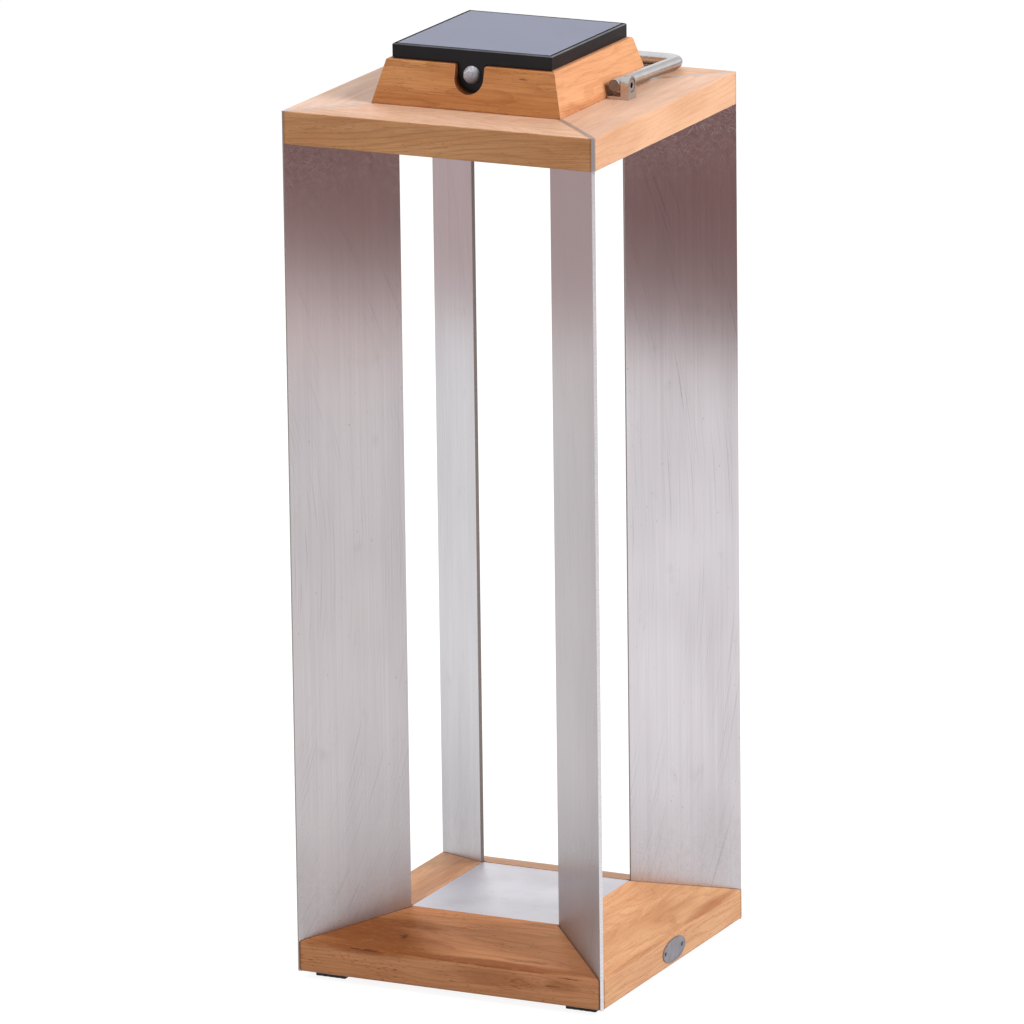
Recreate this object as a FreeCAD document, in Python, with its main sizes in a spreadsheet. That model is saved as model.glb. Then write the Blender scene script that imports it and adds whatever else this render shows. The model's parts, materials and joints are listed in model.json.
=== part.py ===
import FreeCAD, Part
import os
import re
import Sketcher

# Solar garden lantern of teak boards and aluminium corner plates, in millimetres.
# It stands on z = 0 at the middle of its base. The front, with the motion sensor, faces -Y.

SIZES = [
    # Base frame, corner plates and top frame
    ("width", "240", "outer width of the base and top frames"),
    ("plate_height", "626", "corner plates, from the base's underside to the top face"),
    ("plate_thick", "2.5", "thickness of the corner plates"),
    ("base_edge", "22.5", "height of the base boards at their outer face"),
    ("base_slope", "15", "rise of the base boards' top towards the middle, degrees"),
    ("base_round", "2", "rounding of the base boards' long outer edges"),
    ("top_thick", "23.5", "thickness of the top boards"),
    ("top_round", "0.8", "rounding of the top boards' long outer edges"),
    ("foot_height", "5", "height of the pads under the corners"),
    ("foot_width", "23.5", "width of a pad"),
    ("foot_inset", "10", "from the outer faces to a pad"),
    ("foot_bevel", "0.8", "bevel round a pad's lower edge"),
    ("ledge_width", "8", "rebate in the base boards that carries the floor plate"),
    ("floor_thick", "3", "thickness of the floor plate"),
    ("floor_drop", "0.4", "floor plate below the base boards' inner edges"),
    ("floor_gap", "0.3", "play round the floor plate"),
    ("dowel_radius", "4", "radius of the dowels through the mitres"),
    ("dowel_length", "34", "length of a dowel"),
    ("dowel_inset", "28", "outer corner to the first dowel, along the mitre"),
    ("dowel_pitch", "30", "from one dowel to the next, along the mitre"),
    ("dowel_rise", "11.2", "height of the base dowels above the boards' underside"),
    ("dowel_fit", "0.1", "play round a dowel"),
    # Oval plate on the right face of the base
    ("badge_length", "38", "length of the oval plate"),
    ("badge_height", "17", "height of the oval plate"),
    ("badge_thick", "1", "thickness of the oval plate"),
    ("nail_reach", "14", "from the plate's middle to a nail"),
    ("nail_radius", "0.8", "radius of a nail's shank"),
    ("nail_head", "1.5", "radius of a nail's head"),
    ("nail_cap", "0.6", "height of a nail's head"),
    ("nail_length", "9", "length of a nail under its head"),
    ("nail_fit", "0.05", "play round a nail"),
    # Hood
    ("hood_base", "146", "width of the hood where it stands on the top frame"),
    ("hood_height", "31.2", "height of the hood"),
    ("hood_slope", "15", "lean of the hood's sides from upright, degrees"),
    ("hood_wall", "14.5", "thickness of the hood's sides, measured level"),
    ("hood_round", "1.8", "rounding of the hood's upper outer edges"),
    ("opening_step", "0.5", "both frames' opening beyond the hood's inside at its foot"),
    ("notch_width", "22.3", "width of the sensor's notch"),
    ("notch_floor", "11.1", "lowest point of the notch above the top frame"),
    ("notch_round", "1.7", "rounding of the notch's upper corners"),
    ("hood_screw_inset", "8", "from the hood's outer base edge to its screws"),
    ("hood_screw_reach", "40", "from the middle of a side to a screw"),
    ("hood_screw_bite", "12", "depth of a screw in the hood"),
    ("screw_radius", "2", "radius of a hood screw's shank"),
    ("screw_head", "3.6", "radius of a hood screw's head"),
    ("screw_head_thick", "2.6", "height of a hood screw's head"),
    ("screw_recess", "6", "depth of the recess for a hood screw's head"),
    ("screw_fit", "0.1", "play round screws"),
    # Bail handle and its brackets
    ("bar_radius", "4.6", "radius of the bail's round bar"),
    ("bend_radius", "10", "radius of the bail's bends, to the bar's axis"),
    ("arm_clear", "5.6", "from the hood's base edge to the axis of an arm"),
    ("pivot_back", "8", "pivot behind the middle of the lantern"),
    ("pivot_rise", "9.6", "pivot above the top frame"),
    ("crossbar_inset", "5", "from the back edge to the crossbar's axis when folded"),
    ("bail_stub", "5.6", "length of an arm past its pivot"),
    ("stub_bevel", "0.5", "bevel at the ends of the bar"),
    ("rest_gap", "0.7", "folded crossbar above the top frame"),
    ("ear_gap", "0.9", "between an arm and its ear"),
    ("ear_thick", "6", "thickness of an ear"),
    ("ear_width", "13", "width of an ear, which is its arch's diameter"),
    ("bracket_foot", "2.2", "thickness of a bracket's foot"),
    ("bracket_gap", "0.8", "between a bracket's foot and the hood"),
    ("pin_radius", "2", "radius of a pivot screw's shank"),
    ("pin_fit", "0.06", "running play round a pivot screw"),
    ("pin_head", "4.6", "radius of a pivot screw's head"),
    ("pin_head_thick", "3", "height of a pivot screw's head"),
    ("pin_sunk", "0.3", "pivot screw's head below the ear's face"),
    ("socket_width", "4", "hexagon socket, across its flats"),
    ("socket_depth", "2", "depth of the hexagon socket"),
    ("csk_radius", "2.6", "radius of a bracket screw's countersunk head"),
    ("csk_shank", "1.5", "radius of a bracket screw's shank"),
    ("csk_length", "15", "length of a bracket screw"),
    ("csk_reach", "3.4", "from the pivot to a bracket screw, along the foot"),
    # Solar module: case, panel and sensor
    ("seat_gap", "0.3", "between the hood and the panel's rim"),
    ("panel_width", "123", "width of the solar panel"),
    ("panel_thick", "10", "thickness of the solar panel"),
    ("panel_rim", "2.2", "width of the rim round the glass"),
    ("panel_bevel", "0.8", "bevel on the panel's upper edges"),
    ("glass_thick", "2", "thickness of the glass"),
    ("glass_gap", "0.25", "play round the glass"),
    ("cell_thick", "0.4", "thickness of the solar cells"),
    ("cell_gap", "1.6", "between neighbouring solar cells"),
    ("backing_thick", "0.6", "thickness of the board under the cells"),
    ("web_thick", "2.5", "case wall between the panel and the inside"),
    ("tub_gap", "1.1", "between the case and the hood's upper inner edges"),
    ("tub_wall", "2.5", "thickness of the case's side walls"),
    ("tub_depth", "31", "depth of the case under the rim"),
    ("post_width", "9", "width of the screw posts in the case's corners"),
    ("tongue_gap", "0.5", "between the sensor's tongue and its notch"),
    ("lens_radius", "6.5", "radius of the sensor's dome"),
    ("lens_bulge", "5", "height of the dome"),
    ("lens_rise", "23.6", "middle of the dome above the top frame"),
    ("lens_wall", "1", "thickness of the dome"),
    ("lens_neck", "5.3", "radius of the dome's neck"),
    ("lens_neck_length", "3", "length of the dome's neck"),
    ("bore_fit", "0.2", "play round the dome's neck"),
    ("can_radius", "4.6", "radius of the sensor's can"),
    ("can_length", "4.5", "length of the sensor's can"),
    ("sensor_board_width", "18", "width of the sensor's board"),
    # Solar module: inside
    ("part_gap", "0.4", "between neighbouring pieces inside the module"),
    ("circuit_thick", "1.6", "thickness of the circuit boards"),
    ("board_drop", "13.5", "control board below the case's ceiling"),
    ("pillar_radius", "3", "radius of the control board's pillars"),
    ("pillar_inset", "4.5", "from the control board's edges to a pillar's axis"),
    ("board_screw", "1.1", "radius of a control board screw"),
    ("board_screw_head", "2.2", "radius of a control board screw's head"),
    ("board_screw_thick", "1.3", "height of a control board screw's head"),
    ("board_screw_bite", "6", "depth of a control board screw in its pillar"),
    ("battery_radius", "9.2", "radius of a rechargeable cell"),
    ("battery_length", "65.2", "length of a rechargeable cell"),
    ("battery_nub", "2.8", "radius of the nub at a cell's end"),
    ("battery_nub_thick", "1.2", "height of that nub"),
    ("battery_fit", "0.2", "play round a rechargeable cell"),
    ("holder_wall", "1.1", "wall of a cell's holder"),
    ("holder_height", "12.5", "height of a cell's holder"),
    ("lead_radius", "0.6", "radius of the panel's leads"),
    ("lead_reach", "4", "from the middle to a lead"),
    ("lead_fit", "0.3", "play round a lead"),
    ("header_radius", "0.45", "radius of the pins between the boards"),
    ("header_reach", "1.27", "from the middle to a pin"),
    ("gasket_thick", "0.8", "thickness of the seal under the case"),
    ("cover_thick", "3", "thickness of the bottom cover"),
    ("cover_screw", "1.5", "radius of a cover screw"),
    ("cover_screw_head", "2.8", "radius of a cover screw's head"),
    ("cover_screw_thick", "1.8", "height of a cover screw's head"),
    ("cover_screw_bite", "9", "depth of a cover screw in its post"),
    ("tray_lip", "3", "width of the diffuser's lip"),
    ("tray_lip_thick", "1.5", "thickness of the diffuser's lip"),
    ("tray_wall", "2", "wall of the diffuser"),
    ("tray_depth", "13", "depth of the diffuser"),
    ("led_width", "5", "width of a lamp"),
    ("led_thick", "1.4", "height of a lamp"),
    ("led_pitch", "14", "from one lamp to the next"),
    ("button_radius", "3.6", "radius of the mode button"),
    ("button_flange", "4.8", "radius of the flange that keeps the button in"),
    ("button_flange_thick", "1.2", "thickness of that flange"),
    ("button_proud", "0.8", "button beyond the cover"),
    ("button_fit", "0.3", "play round the button"),
    ("stem_radius", "1.8", "radius of the button's stem"),
    ("switch_width", "5.2", "width of the mode switch"),
    ("switch_thick", "3.5", "height of the mode switch"),
    ("plunger_radius", "1.4", "radius of the switch's plunger"),
    ("plunger_show", "1.5", "plunger outside the switch when released"),
    ("plunger_sunk", "1.5", "plunger inside the switch when released"),
    ("plunger_well", "3.1", "depth of the switch's well for the plunger"),
]

CELL_ROWS = 6
CELL_COLUMNS = 2
LEDS_PER_SIDE = 4
SIDES = {"front": 0, "right": 90, "back": 180, "left": 270}
CORNERS = {"front_left": -135, "front_right": -45, "back_right": 45, "back_left": 135}
MITRE_TURNS = (-45, -135)
TOLERANCE = 1e-6
X_AXIS = FreeCAD.Vector(1, 0, 0)
Y_AXIS = FreeCAD.Vector(0, 1, 0)
Z_AXIS = FreeCAD.Vector(0, 0, 1)

# Places worked out from the sizes, as expressions in the sheet's names
HALF = "(width / 2)"
HOOD_HALF = "(hood_base / 2)"
INNER = f"({HOOD_HALF} - hood_wall + opening_step)"
BOARD = f"({HALF} - {INNER})"
LEDGE = f"({INNER} - ledge_width)"
MITRE = "(plate_thick / sqrt(2))"
BASE_RISE = f"(base_edge + {BOARD} * tan(base_slope))"
FLOOR_SEAT = f"({BASE_RISE} - floor_drop - floor_thick)"
PLATE_IN = f"({INNER} * sqrt(2))"
PLATE_OUT = f"((width - {MITRE}) / sqrt(2))"
TOP_FACE = "(foot_height + plate_height)"
HOOD_LEAN = "(hood_height * tan(hood_slope))"
HOOD_TIP = f"({HOOD_HALF} - {HOOD_LEAN})"
HOOD_SCREW = f"({HOOD_HALF} - hood_screw_inset)"
ARM_X = f"({HOOD_HALF} + arm_clear)"
ARM_LENGTH = f"({HALF} - crossbar_inset - pivot_back)"
REST_ANGLE = f"asin((pivot_rise - bar_radius - rest_gap) / {ARM_LENGTH})"
EAR_IN = f"({ARM_X} + bar_radius + ear_gap)"
EAR_OUT = f"({EAR_IN} + ear_thick)"
HEAD_FLOOR = f"({EAR_OUT} - pin_sunk - pin_head_thick)"
SEAT = f"({TOP_FACE} + hood_height + seat_gap)"
TUB_HALF = f"({HOOD_TIP} - hood_wall - tub_gap)"
TUB_IN = f"({TUB_HALF} - tub_wall)"
POST = f"({TUB_IN} - post_width / 2)"
RECESS = "(glass_thick + cell_thick + backing_thick)"
GLASS_HALF = "(panel_width / 2 - panel_rim - glass_gap)"
CEILING = f"(panel_thick - {RECESS} - web_thick)"
TONGUE_HALF = "(notch_width / 2 - tongue_gap)"
TONGUE_ROUND = "(notch_floor + notch_width / 2 - hood_height - seat_gap)"
LENS_Z = "(lens_rise - hood_height - seat_gap)"
COVER_IN = "(0 - tub_depth - gasket_thick)"
COVER_OUT = f"({COVER_IN} - cover_thick)"
HOLDER_HALF = "(battery_radius + battery_fit + holder_wall)"
HOLDER_LONG = "(battery_length / 2 + battery_nub_thick + battery_fit + holder_wall)"
BATTERY_X = f"({TUB_IN} - {HOLDER_HALF} - part_gap)"
BATTERY_Z = f"({CEILING} - holder_wall - battery_fit - battery_radius)"
BOARD_X = f"({BATTERY_X} - {HOLDER_HALF} - part_gap)"
BOARD_Y = f"({TUB_IN} - circuit_thick - 2 * part_gap)"
BOARD_TOP = f"({CEILING} - board_drop)"
BOARD_UNDER = f"({BOARD_TOP} - circuit_thick)"
PILLAR_X = f"({BOARD_X} - pillar_inset)"
PILLAR_Y = f"({BOARD_Y} - pillar_inset)"
BUTTON_Y = f"({TUB_IN} - part_gap - button_flange)"
TRAY_LIP = f"({BUTTON_Y} - button_flange - part_gap)"
TRAY_HALF = f"({TRAY_LIP} - tray_lip)"
TRAY_TOP = f"({COVER_OUT} + tray_depth)"
LIGHT_TOP = f"({TRAY_TOP} + circuit_thick)"
SWITCH_UNDER = f"({BOARD_UNDER} - switch_thick)"
STEM_TOP = f"({SWITCH_UNDER} - plunger_show)"

doc = FreeCAD.newDocument("solar_lantern")
sheet = doc.addObject("Spreadsheet::Sheet", "Sizes")
for row, (alias, number, meaning) in enumerate(SIZES, 1):
    sheet.set(f"A{row}", meaning)
    sheet.set(f"B{row}", number)
    sheet.setAlias(f"B{row}", alias)
doc.recompute()
ALIAS = re.compile(r"\b(" + "|".join(alias for alias, number, meaning in SIZES) + r")\b")
pieces = []


# Sheet and document helpers

def on_sheet(text):
    """Write an expression's names as cells of the sheet."""
    return ALIAS.sub(r"Sizes.\1", text)


def value(text):
    """Work out an expression in the sheet's names."""
    return float(sheet.evalExpression(on_sheet(text)))


def bind(thing, **places):
    """Tie properties to the sheet; two underscores stand for a dot."""
    for name, text in places.items():
        thing.setExpression(name.replace("__", "."), on_sheet(text))


def new_body(label, height="0", turn=0, group=False):
    """Start a sub-part at a height above the floor, turned about the lantern's axis."""
    body = doc.addObject("PartDesign::Body", label)
    body.Label = label
    body.AllowCompound = group
    body.Placement = FreeCAD.Placement(FreeCAD.Vector(), FreeCAD.Rotation(Z_AXIS, turn))
    bind(body, Placement__Base__z=height)
    pieces.append(body)
    return body


def finished(thing, label):
    """Name a sub-part made of primitives and list it."""
    thing.Label = label
    pieces.append(thing)
    return thing


# Sketch helpers

def origin_part(body, role):
    """Find one of a body's own planes or axes."""
    return next(part for part in body.Origin.OriginFeatures if part.Role == role)


def new_sketch(body, plane, turn=0, **shift):
    """Attach a sketch to a body's plane, turned about its own upright axis and shifted."""
    sketch = body.newObject("Sketcher::SketchObject", "Sketch")
    sketch.AttachmentSupport = [(origin_part(body, plane), "")]
    sketch.MapMode = "FlatFace"
    sketch.AttachmentOffset = FreeCAD.Placement(FreeCAD.Vector(), FreeCAD.Rotation(Y_AXIS, turn))
    for axis, text in shift.items():
        sketch.setExpression(f"AttachmentOffset.Base.{axis}", on_sheet(text))
    return sketch


def tie(sketch, kind, curve, point, text):
    """Hold one coordinate of a point at a distance from the sketch's origin."""
    if abs(value(text)) < TOLERANCE:
        axis = -2 if kind == "DistanceX" else -1
        sketch.addConstraint(Sketcher.Constraint("PointOnObject", curve, point, axis))
        return
    number = sketch.addConstraint(Sketcher.Constraint(kind, -1, 1, curve, point, value(text)))
    sketch.setExpression(f"Constraints[{number}]", on_sheet(text))


def tie_radius(sketch, curve, text):
    """Set the radius of a circle or arc."""
    number = sketch.addConstraint(Sketcher.Constraint("Radius", curve, value(text)))
    sketch.setExpression(f"Constraints[{number}]", on_sheet(text))


def arc_between(start, end, centre_y, clockwise):
    """Make the arc from start to end whose centre lies at a known height."""
    rise = (start.y - centre_y) ** 2 - (end.y - centre_y) ** 2
    centre_x = (start.x ** 2 - end.x ** 2 + rise) / (2 * (start.x - end.x))
    centre = FreeCAD.Vector(centre_x, centre_y, 0)
    first, last = (end, start) if clockwise else (start, end)
    circle_round = Part.Circle(centre, Z_AXIS, (start - centre).Length)
    return Part.ArcOfCircle(circle_round, circle_round.parameter(first), circle_round.parameter(last))


def outline(sketch, corners, arcs=None):
    """Draw a closed outline with every corner tied to the sheet.

    arcs gives, for the side that starts at a corner's number, its centre's height and
    whether it runs clockwise.
    """
    arcs = arcs or {}
    spots = [FreeCAD.Vector(value(x), value(y), 0) for x, y in corners]
    count = len(corners)
    begins = [2 if arcs.get(index, ("0", False))[1] else 1 for index in range(count)]
    base = sketch.GeometryCount
    for index, spot in enumerate(spots):
        after = spots[(index + 1) % count]
        if index in arcs:
            height, clockwise = arcs[index]
            sketch.addGeometry(arc_between(spot, after, value(height), clockwise), False)
        else:
            sketch.addGeometry(Part.LineSegment(spot, after), False)
    for index, (x, y) in enumerate(corners):
        after = (index + 1) % count
        meet = Sketcher.Constraint("Coincident", base + index, 3 - begins[index], base + after, begins[after])
        sketch.addConstraint(meet)
        tie(sketch, "DistanceX", base + index, begins[index], x)
        tie(sketch, "DistanceY", base + index, begins[index], y)
        if index in arcs:
            tie(sketch, "DistanceY", base + index, 3, arcs[index][0])


def rectangle(sketch, low_x, low_y, high_x, high_y):
    """Draw a rectangle between two corners."""
    outline(sketch, [(low_x, low_y), (high_x, low_y), (high_x, high_y), (low_x, high_y)])


def square(sketch, half):
    """Draw a square about the sketch's origin."""
    rectangle(sketch, f"-{half}", f"-{half}", half, half)


def circle(sketch, x, y, radius):
    """Draw a circle."""
    centre = FreeCAD.Vector(value(x), value(y), 0)
    number = sketch.addGeometry(Part.Circle(centre, Z_AXIS, value(radius)), False)
    tie(sketch, "DistanceX", number, 3, x)
    tie(sketch, "DistanceY", number, 3, y)
    tie_radius(sketch, number, radius)


def four_circles(sketch, x, y, radius):
    """Draw a circle in each quarter of the sketch."""
    for sign_x in ("", "-"):
        for sign_y in ("", "-"):
            circle(sketch, sign_x + x, sign_y + y, radius)


# Feature helpers

def extrude(kind, body, sketch, length, backwards=False, both=False):
    """Pad or pocket a sketch, along its normal or backwards, or to both sides of it."""
    feature = body.newObject(f"PartDesign::{kind}", kind)
    feature.Profile = sketch
    feature.SideType = "Symmetric" if both else "One side"
    feature.Reversed = backwards
    bind(feature, Length=length)
    return feature


def pad(body, sketch, length, **sides):
    """Add material along a sketch."""
    return extrude("Pad", body, sketch, length, **sides)


def pocket(body, sketch, length, **sides):
    """Cut a sketch out, against its normal unless it is turned backwards."""
    return extrude("Pocket", body, sketch, length, **sides)


def revolve(body, sketch, axis):
    """Turn a half section about one of its sketch's axes."""
    feature = body.newObject("PartDesign::Revolution", "Revolution")
    feature.Profile = sketch
    feature.ReferenceAxis = (sketch, [axis])
    feature.Angle = 360
    return feature


def repeat_round(body, features, count):
    """Repeat features about the body's upright axis."""
    pattern = body.newObject("PartDesign::PolarPattern", "PolarPattern")
    pattern.Originals = features
    pattern.Axis = (origin_part(body, "Z_Axis"), [""])
    pattern.Angle = 360
    pattern.Occurrences = count
    body.Tip = pattern


def dress(kind, body, size, wanted):
    """Fillet or chamfer the edges of a body that a test picks."""
    doc.recompute()
    tip = body.Tip
    names = [f"Edge{number}" for number, edge in enumerate(tip.Shape.Edges, 1) if wanted(edge)]
    feature = body.newObject(f"PartDesign::{kind}", kind)
    feature.Base = (tip, names)
    bind(feature, **{"Radius" if kind == "Fillet" else "Size": size})


def lies_at(edge, **places):
    """Tell whether both ends of an edge have the given coordinates."""
    return all(
        abs(getattr(vertex.Point, axis) - place) < TOLERANCE
        for vertex in edge.Vertexes
        for axis, place in places.items()
    )


def box(low, high):
    """Make a box between two corners."""
    made = doc.addObject("Part::Box", "Box")
    bind(made, Placement__Base__x=low[0], Placement__Base__y=low[1], Placement__Base__z=low[2])
    length, width, height = (f"{end} - ({start})" for start, end in zip(low, high))
    bind(made, Length=length, Width=width, Height=height)
    return made


def rod(base, radius, length, along=Z_AXIS):
    """Make a round rod from the middle of one end."""
    made = doc.addObject("Part::Cylinder", "Cylinder")
    made.Placement = FreeCAD.Placement(FreeCAD.Vector(), FreeCAD.Rotation(Z_AXIS, along))
    bind(made, Placement__Base__x=base[0], Placement__Base__y=base[1], Placement__Base__z=base[2])
    bind(made, Radius=radius, Height=length)
    return made


def boolean(kind, base, tool):
    """Cut or fuse two primitives."""
    made = doc.addObject(f"Part::{kind}", kind)
    made.Base = base
    made.Tool = tool
    return made


def together(members):
    """Hold separate solids as one group."""
    made = doc.addObject("Part::Compound", "Compound")
    made.Links = members
    return made


def in_module(height):
    """Give a height above the panel rim's underside as one above the floor."""
    return f"{SEAT} + {height}"


# Wooden frames and corner plates

def mitred_plan(body, inner):
    """Draw a front board seen from above, its ends cut back for the corner plates."""
    plan = new_sketch(body, "XY_Plane")
    outline(plan, [
        (f"-({HALF} - {MITRE})", f"-{HALF}"),
        (f"{HALF} - {MITRE}", f"-{HALF}"),
        (f"{inner} - {MITRE}", f"-{inner}"),
        (f"-({inner} - {MITRE})", f"-{inner}"),
    ])
    return plan


def dowel_circles(sketch, rise, radius):
    """Draw the two dowels of a mitre on the plane of its corner plate."""
    circle(sketch, f"{PLATE_OUT} - dowel_inset", rise, radius)
    circle(sketch, f"{PLATE_OUT} - dowel_inset - dowel_pitch", rise, radius)


def dowel_holes(body, rise):
    """Drill both mitred ends of a board for their dowels."""
    for turn in MITRE_TURNS:
        holes = new_sketch(body, "XZ_Plane", turn)
        dowel_circles(holes, rise, "dowel_radius + dowel_fit")
        pocket(body, holes, "dowel_length + 2 * dowel_fit", both=True)


def round_outer_edges(body, radius, heights):
    """Round the long edges of a board's outer face."""
    places = [{"y": -value(HALF), "z": value(height)} for height in heights]
    dress("Fillet", body, radius, lambda edge: any(lies_at(edge, **place) for place in places))


def base_board(side, turn):
    """A base board: low at its outer face, sloping up to a rebate for the floor plate."""
    body = new_body(f"base_board_{side}", "foot_height", turn)
    pad(body, mitred_plan(body, LEDGE), BASE_RISE)
    section = new_sketch(body, "YZ_Plane")
    outline(section, [
        (f"-{HALF} - {BOARD}", f"base_edge - {BOARD} * tan(base_slope)"),
        (f"-{INNER}", BASE_RISE),
        (f"-{INNER}", FLOOR_SEAT),
        (f"-{LEDGE} + ledge_width", FLOOR_SEAT),
        (f"-{LEDGE} + ledge_width", f"{BASE_RISE} + base_edge"),
        (f"-{HALF} - {BOARD}", f"{BASE_RISE} + base_edge"),
    ])
    pocket(body, section, "width", both=True)
    dowel_holes(body, "dowel_rise")
    if side == "right":
        nails = new_sketch(body, "XZ_Plane", z=HALF)
        for sign in ("", "-"):
            circle(nails, f"{sign}nail_reach", "base_edge / 2", "nail_radius + nail_fit")
        pocket(body, nails, "nail_length")
    round_outer_edges(body, "base_round", ("0", "base_edge"))


def top_board(side, turn):
    """A flat top board, drilled for the hood's screws and, at the sides, a bracket's screws."""
    body = new_body(f"top_board_{side}", f"{TOP_FACE} - top_thick", turn)
    pad(body, mitred_plan(body, INNER), "top_thick")
    dowel_holes(body, "top_thick / 2")
    for radius, depth in (("screw_radius", "top_thick"), ("screw_head", "screw_recess")):
        holes = new_sketch(body, "XY_Plane")
        for sign in ("", "-"):
            circle(holes, f"{sign}hood_screw_reach", f"-{HOOD_SCREW}", f"{radius} + screw_fit")
        pocket(body, holes, depth, backwards=True)
    bracket_side = {"right": "", "left": "-"}
    if side in bracket_side:
        holes = new_sketch(body, "XY_Plane", z="top_thick")
        for place in ("(pivot_back + csk_reach)", "(pivot_back - csk_reach)"):
            circle(holes, bracket_side[side] + place, f"-{ARM_X}", "csk_shank + screw_fit")
        pocket(body, holes, "csk_length - bracket_foot + screw_fit")
    round_outer_edges(body, "top_round", ("0", "top_thick"))


def corner_plate(corner, turn):
    """A tall plate that stands on the diagonal, between the mitres of both frames."""
    body = new_body(f"corner_plate_{corner}", "foot_height", turn)
    face = new_sketch(body, "XZ_Plane")
    rectangle(face, PLATE_IN, "0", PLATE_OUT, "plate_height")
    pad(body, face, "plate_thick", both=True)
    holes = new_sketch(body, "XZ_Plane")
    for rise in ("dowel_rise", "plate_height - top_thick / 2"):
        dowel_circles(holes, rise, "dowel_radius + dowel_fit")
    pocket(body, holes, "2 * plate_thick", both=True)


def dowels(label, rise):
    """The dowels of one frame, two through each mitre."""
    body = new_body(label, "foot_height", group=True)
    ends = new_sketch(body, "XZ_Plane", MITRE_TURNS[0])
    dowel_circles(ends, rise, "dowel_radius")
    repeat_round(body, [pad(body, ends, "dowel_length", both=True)], len(CORNERS))


def floor_plate():
    """The metal floor that lies in the base boards' rebates."""
    half = f"({INNER} - floor_gap)"
    seat = f"foot_height + {FLOOR_SEAT}"
    finished(box((f"-{half}", f"-{half}", seat), (half, half, f"{seat} + floor_thick")), "floor_plate")


def foot_pads():
    """The square pads under the corners."""
    body = new_body("foot_pads", group=True)
    outer = f"({HALF} - foot_inset)"
    plan = new_sketch(body, "XY_Plane")
    rectangle(plan, f"{outer} - foot_width", f"-{outer}", outer, f"-{outer} + foot_width")
    pad(body, plan, "foot_height")
    dress("Chamfer", body, "foot_bevel", lambda edge: lies_at(edge, z=0))
    repeat_round(body, [feature for feature in body.Group if feature.Name.startswith(("Pad", "Chamfer"))], 4)


def badge_plate():
    """The bare oval plate on the right face of the base."""
    oval = doc.addObject("Part::Ellipse", "Ellipse")
    bind(oval, MajorRadius="badge_length / 2", MinorRadius="badge_height / 2")
    blank = doc.addObject("Part::Extrusion", "Extrusion")
    blank.Base = oval
    blank.Dir = Z_AXIS
    blank.Solid = True
    bind(blank, LengthFwd="badge_thick")
    spots = [(f"{sign}nail_reach", "0", "0") for sign in ("", "-")]
    holes = together([rod(spot, "nail_radius + nail_fit", "badge_thick") for spot in spots])
    plate = finished(boolean("Cut", blank, holes), "badge_plate")
    plate.Placement = FreeCAD.Placement(FreeCAD.Vector(), FreeCAD.Rotation(Y_AXIS, Z_AXIS, X_AXIS, "ZXY"))
    bind(plate, Placement__Base__x=HALF, Placement__Base__z="foot_height + base_edge / 2")


def badge_nails():
    """The two nails through the oval plate."""
    body = new_body("badge_nails", "foot_height + base_edge / 2", group=True)
    for sign in ("", "-"):
        section = new_sketch(body, "XY_Plane", x=f"{HALF} + badge_thick", y=f"{sign}nail_reach")
        outline(section, [
            ("-nail_length", "0"),
            ("nail_cap", "0"),
            ("nail_cap", "nail_head / 2"),
            ("nail_cap / 3", "nail_head"),
            ("0", "nail_head"),
            ("0", "nail_radius"),
            ("-nail_length + nail_radius", "nail_radius"),
        ])
        revolve(body, section, "H_Axis")


# Hood

def hood_side(side, turn):
    """A leaning, mitred side of the hood, the front one with the sensor's notch."""
    body = new_body(f"hood_{side}", TOP_FACE, turn)
    section = new_sketch(body, "YZ_Plane")
    outline(section, [
        (f"-{HOOD_HALF}", "0"),
        (f"-{HOOD_HALF} + hood_wall", "0"),
        (f"-{HOOD_TIP} + hood_wall", "hood_height"),
        (f"-{HOOD_TIP}", "hood_height"),
    ])
    pad(body, section, "hood_base", both=True)
    mitres = new_sketch(body, "XY_Plane")
    far = "hood_base"
    near = f"({HOOD_TIP} - 2 * hood_wall)"
    for sign in ("", "-"):
        side_far = sign + far
        outline(mitres, [(sign + near, f"-{near}"), (side_far, f"-{far}"), (side_far, f"-{near}")])
    pocket(body, mitres, "hood_height", backwards=True)
    pilots = new_sketch(body, "XY_Plane")
    for sign in ("", "-"):
        circle(pilots, f"{sign}hood_screw_reach", f"-{HOOD_SCREW}", "screw_radius + screw_fit")
    pocket(body, pilots, "hood_screw_bite + screw_fit", backwards=True)
    top_edge = {"y": -value(HOOD_TIP), "z": value("hood_height")}
    dress("Fillet", body, "hood_round", lambda edge: lies_at(edge, **top_edge))
    if side == "front":
        notch = new_sketch(body, "XZ_Plane")
        half = "notch_width / 2"
        centre = f"notch_floor + {half}"
        bend = "hood_height - notch_round"
        flare = f"({half} + notch_round)"
        top = "hood_height + notch_width"
        outline(notch, [
            (flare, top),
            (f"-{flare}", top),
            (f"-{flare}", "hood_height"),
            (f"-{half}", bend),
            (f"-{half}", centre),
            (half, centre),
            (half, bend),
            (flare, "hood_height"),
        ], {2: (bend, True), 4: (centre, False), 6: (bend, True)})
        pocket(body, notch, "hood_base", backwards=True)


def hood_screws():
    """The screws that come up through the top boards into the hood."""
    body = new_body("hood_screws", f"{TOP_FACE} - top_thick + screw_recess", group=True)
    turned = []
    for sign in ("", "-"):
        section = new_sketch(body, "XZ_Plane", x=f"{sign}hood_screw_reach", z=HOOD_SCREW)
        tip = "top_thick - screw_recess + hood_screw_bite"
        outline(section, [
            ("0", "-screw_head_thick"),
            ("screw_head", "-screw_head_thick"),
            ("screw_head", "0"),
            ("screw_radius", "0"),
            ("screw_radius", f"{tip} - 2 * screw_radius"),
            ("0", tip),
        ])
        turned.append(revolve(body, section, "V_Axis"))
    repeat_round(body, turned, len(SIDES))


# Bail handle

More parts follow.
